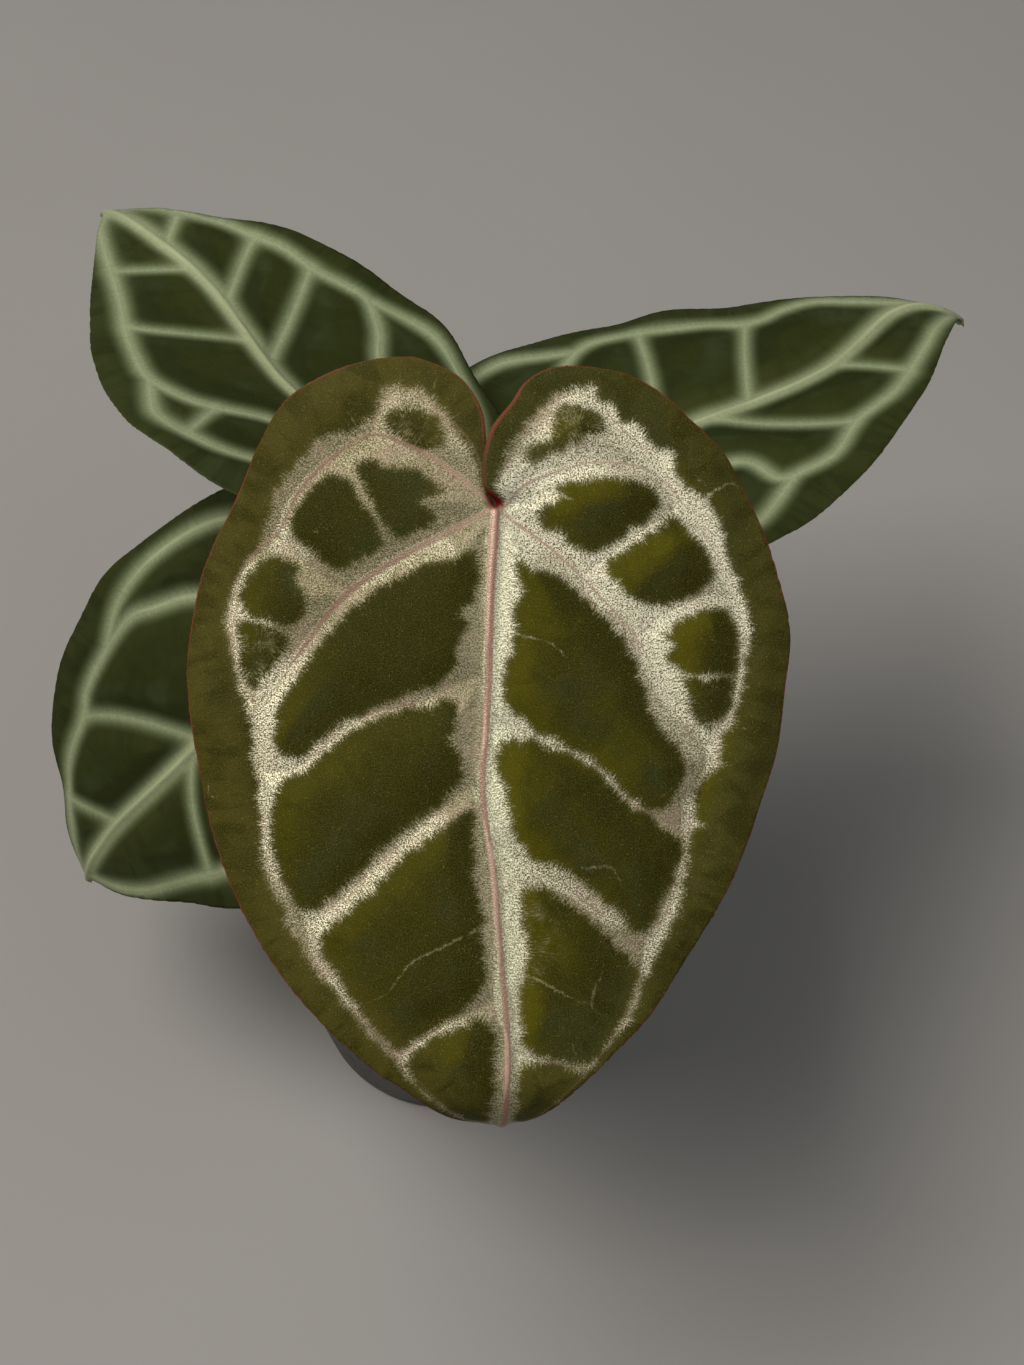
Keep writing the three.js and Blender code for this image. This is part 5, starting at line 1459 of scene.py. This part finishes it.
def bark_finish():
    f = Finish("pine bark")
    place = f.place()
    patches = f.noise(place, 0.16, 3, 0.6)
    grain = f.noise(f.stretched(place, (1, 1, 2.4)), 0.9, 5, 0.68)
    base = f.mix(f.rise(patches, 0.4, 0.6), "#4b2f1d", "#7c5334")
    base = f.mix(f.rise(grain, 0.48, 0.66) * 0.75, base, "#2b1b12")
    base = f.mix(f.rise(f.noise(place, 0.5, 3), 0.58, 0.7) * 0.5, base, "#a27a50")
    return f.coat(base, 0.8 + (grain - 0.5) * 0.3, (grain - 0.5) * 0.9)


def stone_finish():
    f = Finish("pumice")
    place = f.place()
    # Painted shade: darker in the pores
    pores = f.rise(f.specks(place, 2.2), 0.12, 0.36)
    cloud = f.noise(place, 0.5, 3)
    base = f.mix(pores, "#8d8778", f.mix(cloud, "#cfcabd", "#e9e5da"))
    return f.coat(base, 0.92 - pores * 0.05, pores * 0.16)


# Pot: radii and heights in millimetres, from the base up the outside and down the inside
POT_PROFILE = [
    (36.5, 0), (37.6, 0.45), (38, 1.5), (49.2, 80), (51, 81.5), (51, 89), (52.2, 89.3), (52.5, 89.8),
    (52.5, 91.3), (51.9, 92), (49.7, 92), (49.1, 91.4), (49.1, 82.2), (47.9, 80), (37, 1.8),
]
HOLES = 6
HOLE_RADIUS = 3.5
HOLE_CIRCLE = 25


def drill_hole(pot, angle):
    """One drain hole through the base, in this direction from the middle."""
    bpy.ops.object.select_all(action="DESELECT")
    middle = (HOLE_CIRCLE * MM * math.cos(angle), HOLE_CIRCLE * MM * math.sin(angle), 0.9 * MM)
    bpy.ops.mesh.primitive_cylinder_add(vertices=32, radius=HOLE_RADIUS * MM, depth=8 * MM, location=middle)
    drill = bpy.context.object
    hole = pot.modifiers.new("hole", "BOOLEAN")
    hole.operation = "DIFFERENCE"
    hole.object = drill
    hole.solver = "EXACT"
    carry_out(pot, hole)
    bpy.data.objects.remove(drill)


def make_pot(finish):
    """A moulded nursery pot: a tapered wall, a straight collar, a rolled lip and a ring of drain holes."""
    radius, height = POT_PROFILE[0]
    pot = start_disc("pot_look", 128, radius, height)
    for wanted, top in POT_PROFILE[1:]:
        draw_up(top - height, wanted / radius)
        radius, height = wanted, top
    bpy.ops.object.mode_set(mode="OBJECT")
    settle(pot)
    tidy_shell(pot)
    for i in range(HOLES):
        drill_hole(pot, 2 * math.pi * i / HOLES)
    soft = pot.modifiers.new("soft edges", "BEVEL")
    soft.width = 0.25 * MM
    soft.segments = 2
    soft.limit_method = "ANGLE"
    soft.angle_limit = math.radians(35)
    carry_out(pot, soft)
    tidy_shell(pot, 30)
    pot.data.materials.append(finish)
    return pot


def pot_finish():
    """Dark moulded plastic: finely grained, a little scuffed and splashed with dried compost."""
    f = Finish("pot plastic")
    place = f.place()
    grain = f.noise(place, 3.0, 2, 0.6)
    cloud = f.noise(place, 0.05, 3, 0.55)
    scuffs = f.rise(f.noise(f.stretched(place, (0.7, 0.7, 0.16)), 0.9, 4, 0.7), 0.6, 0.74)
    splash = f.rise(f.noise(place, 0.4, 4, 0.7), 0.58, 0.7)
    base = f.mix(cloud, "#17120f", "#221b17")
    base = f.mix(scuffs * 0.3, base, "#4a423c")
    base = f.mix(splash * 0.25, base, "#5b4937")
    gloss = 0.42 + (cloud - 0.5) * 0.25 + scuffs * 0.2 + splash * 0.25
    return f.coat(base, gloss, (grain - 0.5) * 0.06 + splash * 0.03)


# Floor: it lies just under the pot
FLOOR_SIZE = 30
FLOOR_DROP = 0.0002


def make_floor():
    bpy.ops.object.select_all(action="DESELECT")
    bpy.ops.mesh.primitive_plane_add(size=FLOOR_SIZE, location=(0, 0, -FLOOR_DROP))
    floor = bpy.context.object
    floor.name = "floor"
    f = Finish("floor")
    base = f.mix(f.noise(f.place(), 0.004, 3), "#95918d", "#9c9995")
    floor.data.materials.append(f.surface({"Base Color": base, "Roughness": 0.9}))


# The plant, put together
set_camera()
light_studio()
make_floor()

young = blade_finish("young blade", YOUNG)
mature = blade_finish("mature blade", MATURE)
red_stalk = stalk_finish("red stalk", "#6d4a33", "#7d4a3c", "#a0735a", "#8d5548")
green_stalk = stalk_finish("green stalk", "#5f6a3c", "#65753f", "#8f9a66", "#7c7a4a")
for leaf in (FRONT, BACK_LEFT, BACK_RIGHT, LEFT):
    newest = leaf is FRONT
    blade = make_blade(leaf, YOUNG_NET if newest else MATURE_NET, young if newest else mature)
    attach(blade, "root")
    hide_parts("blade_" + leaf["name"])
    stalk = make_stalk(leaf, red_stalk if newest else green_stalk)
    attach(stalk, "root")
    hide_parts("petiole_" + leaf["name"])

for piece in make_crown(crown_finish(), root_finish(), paper_finish()):
    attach(piece, "root")
    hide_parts("crown")
for piece in make_mix(compost_finish(), bark_finish(), stone_finish()):
    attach(piece, "root")
    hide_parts("soil")
pot = make_pot(pot_finish())
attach(pot, "root")
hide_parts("pot")

bpy.context.view_layer.update()
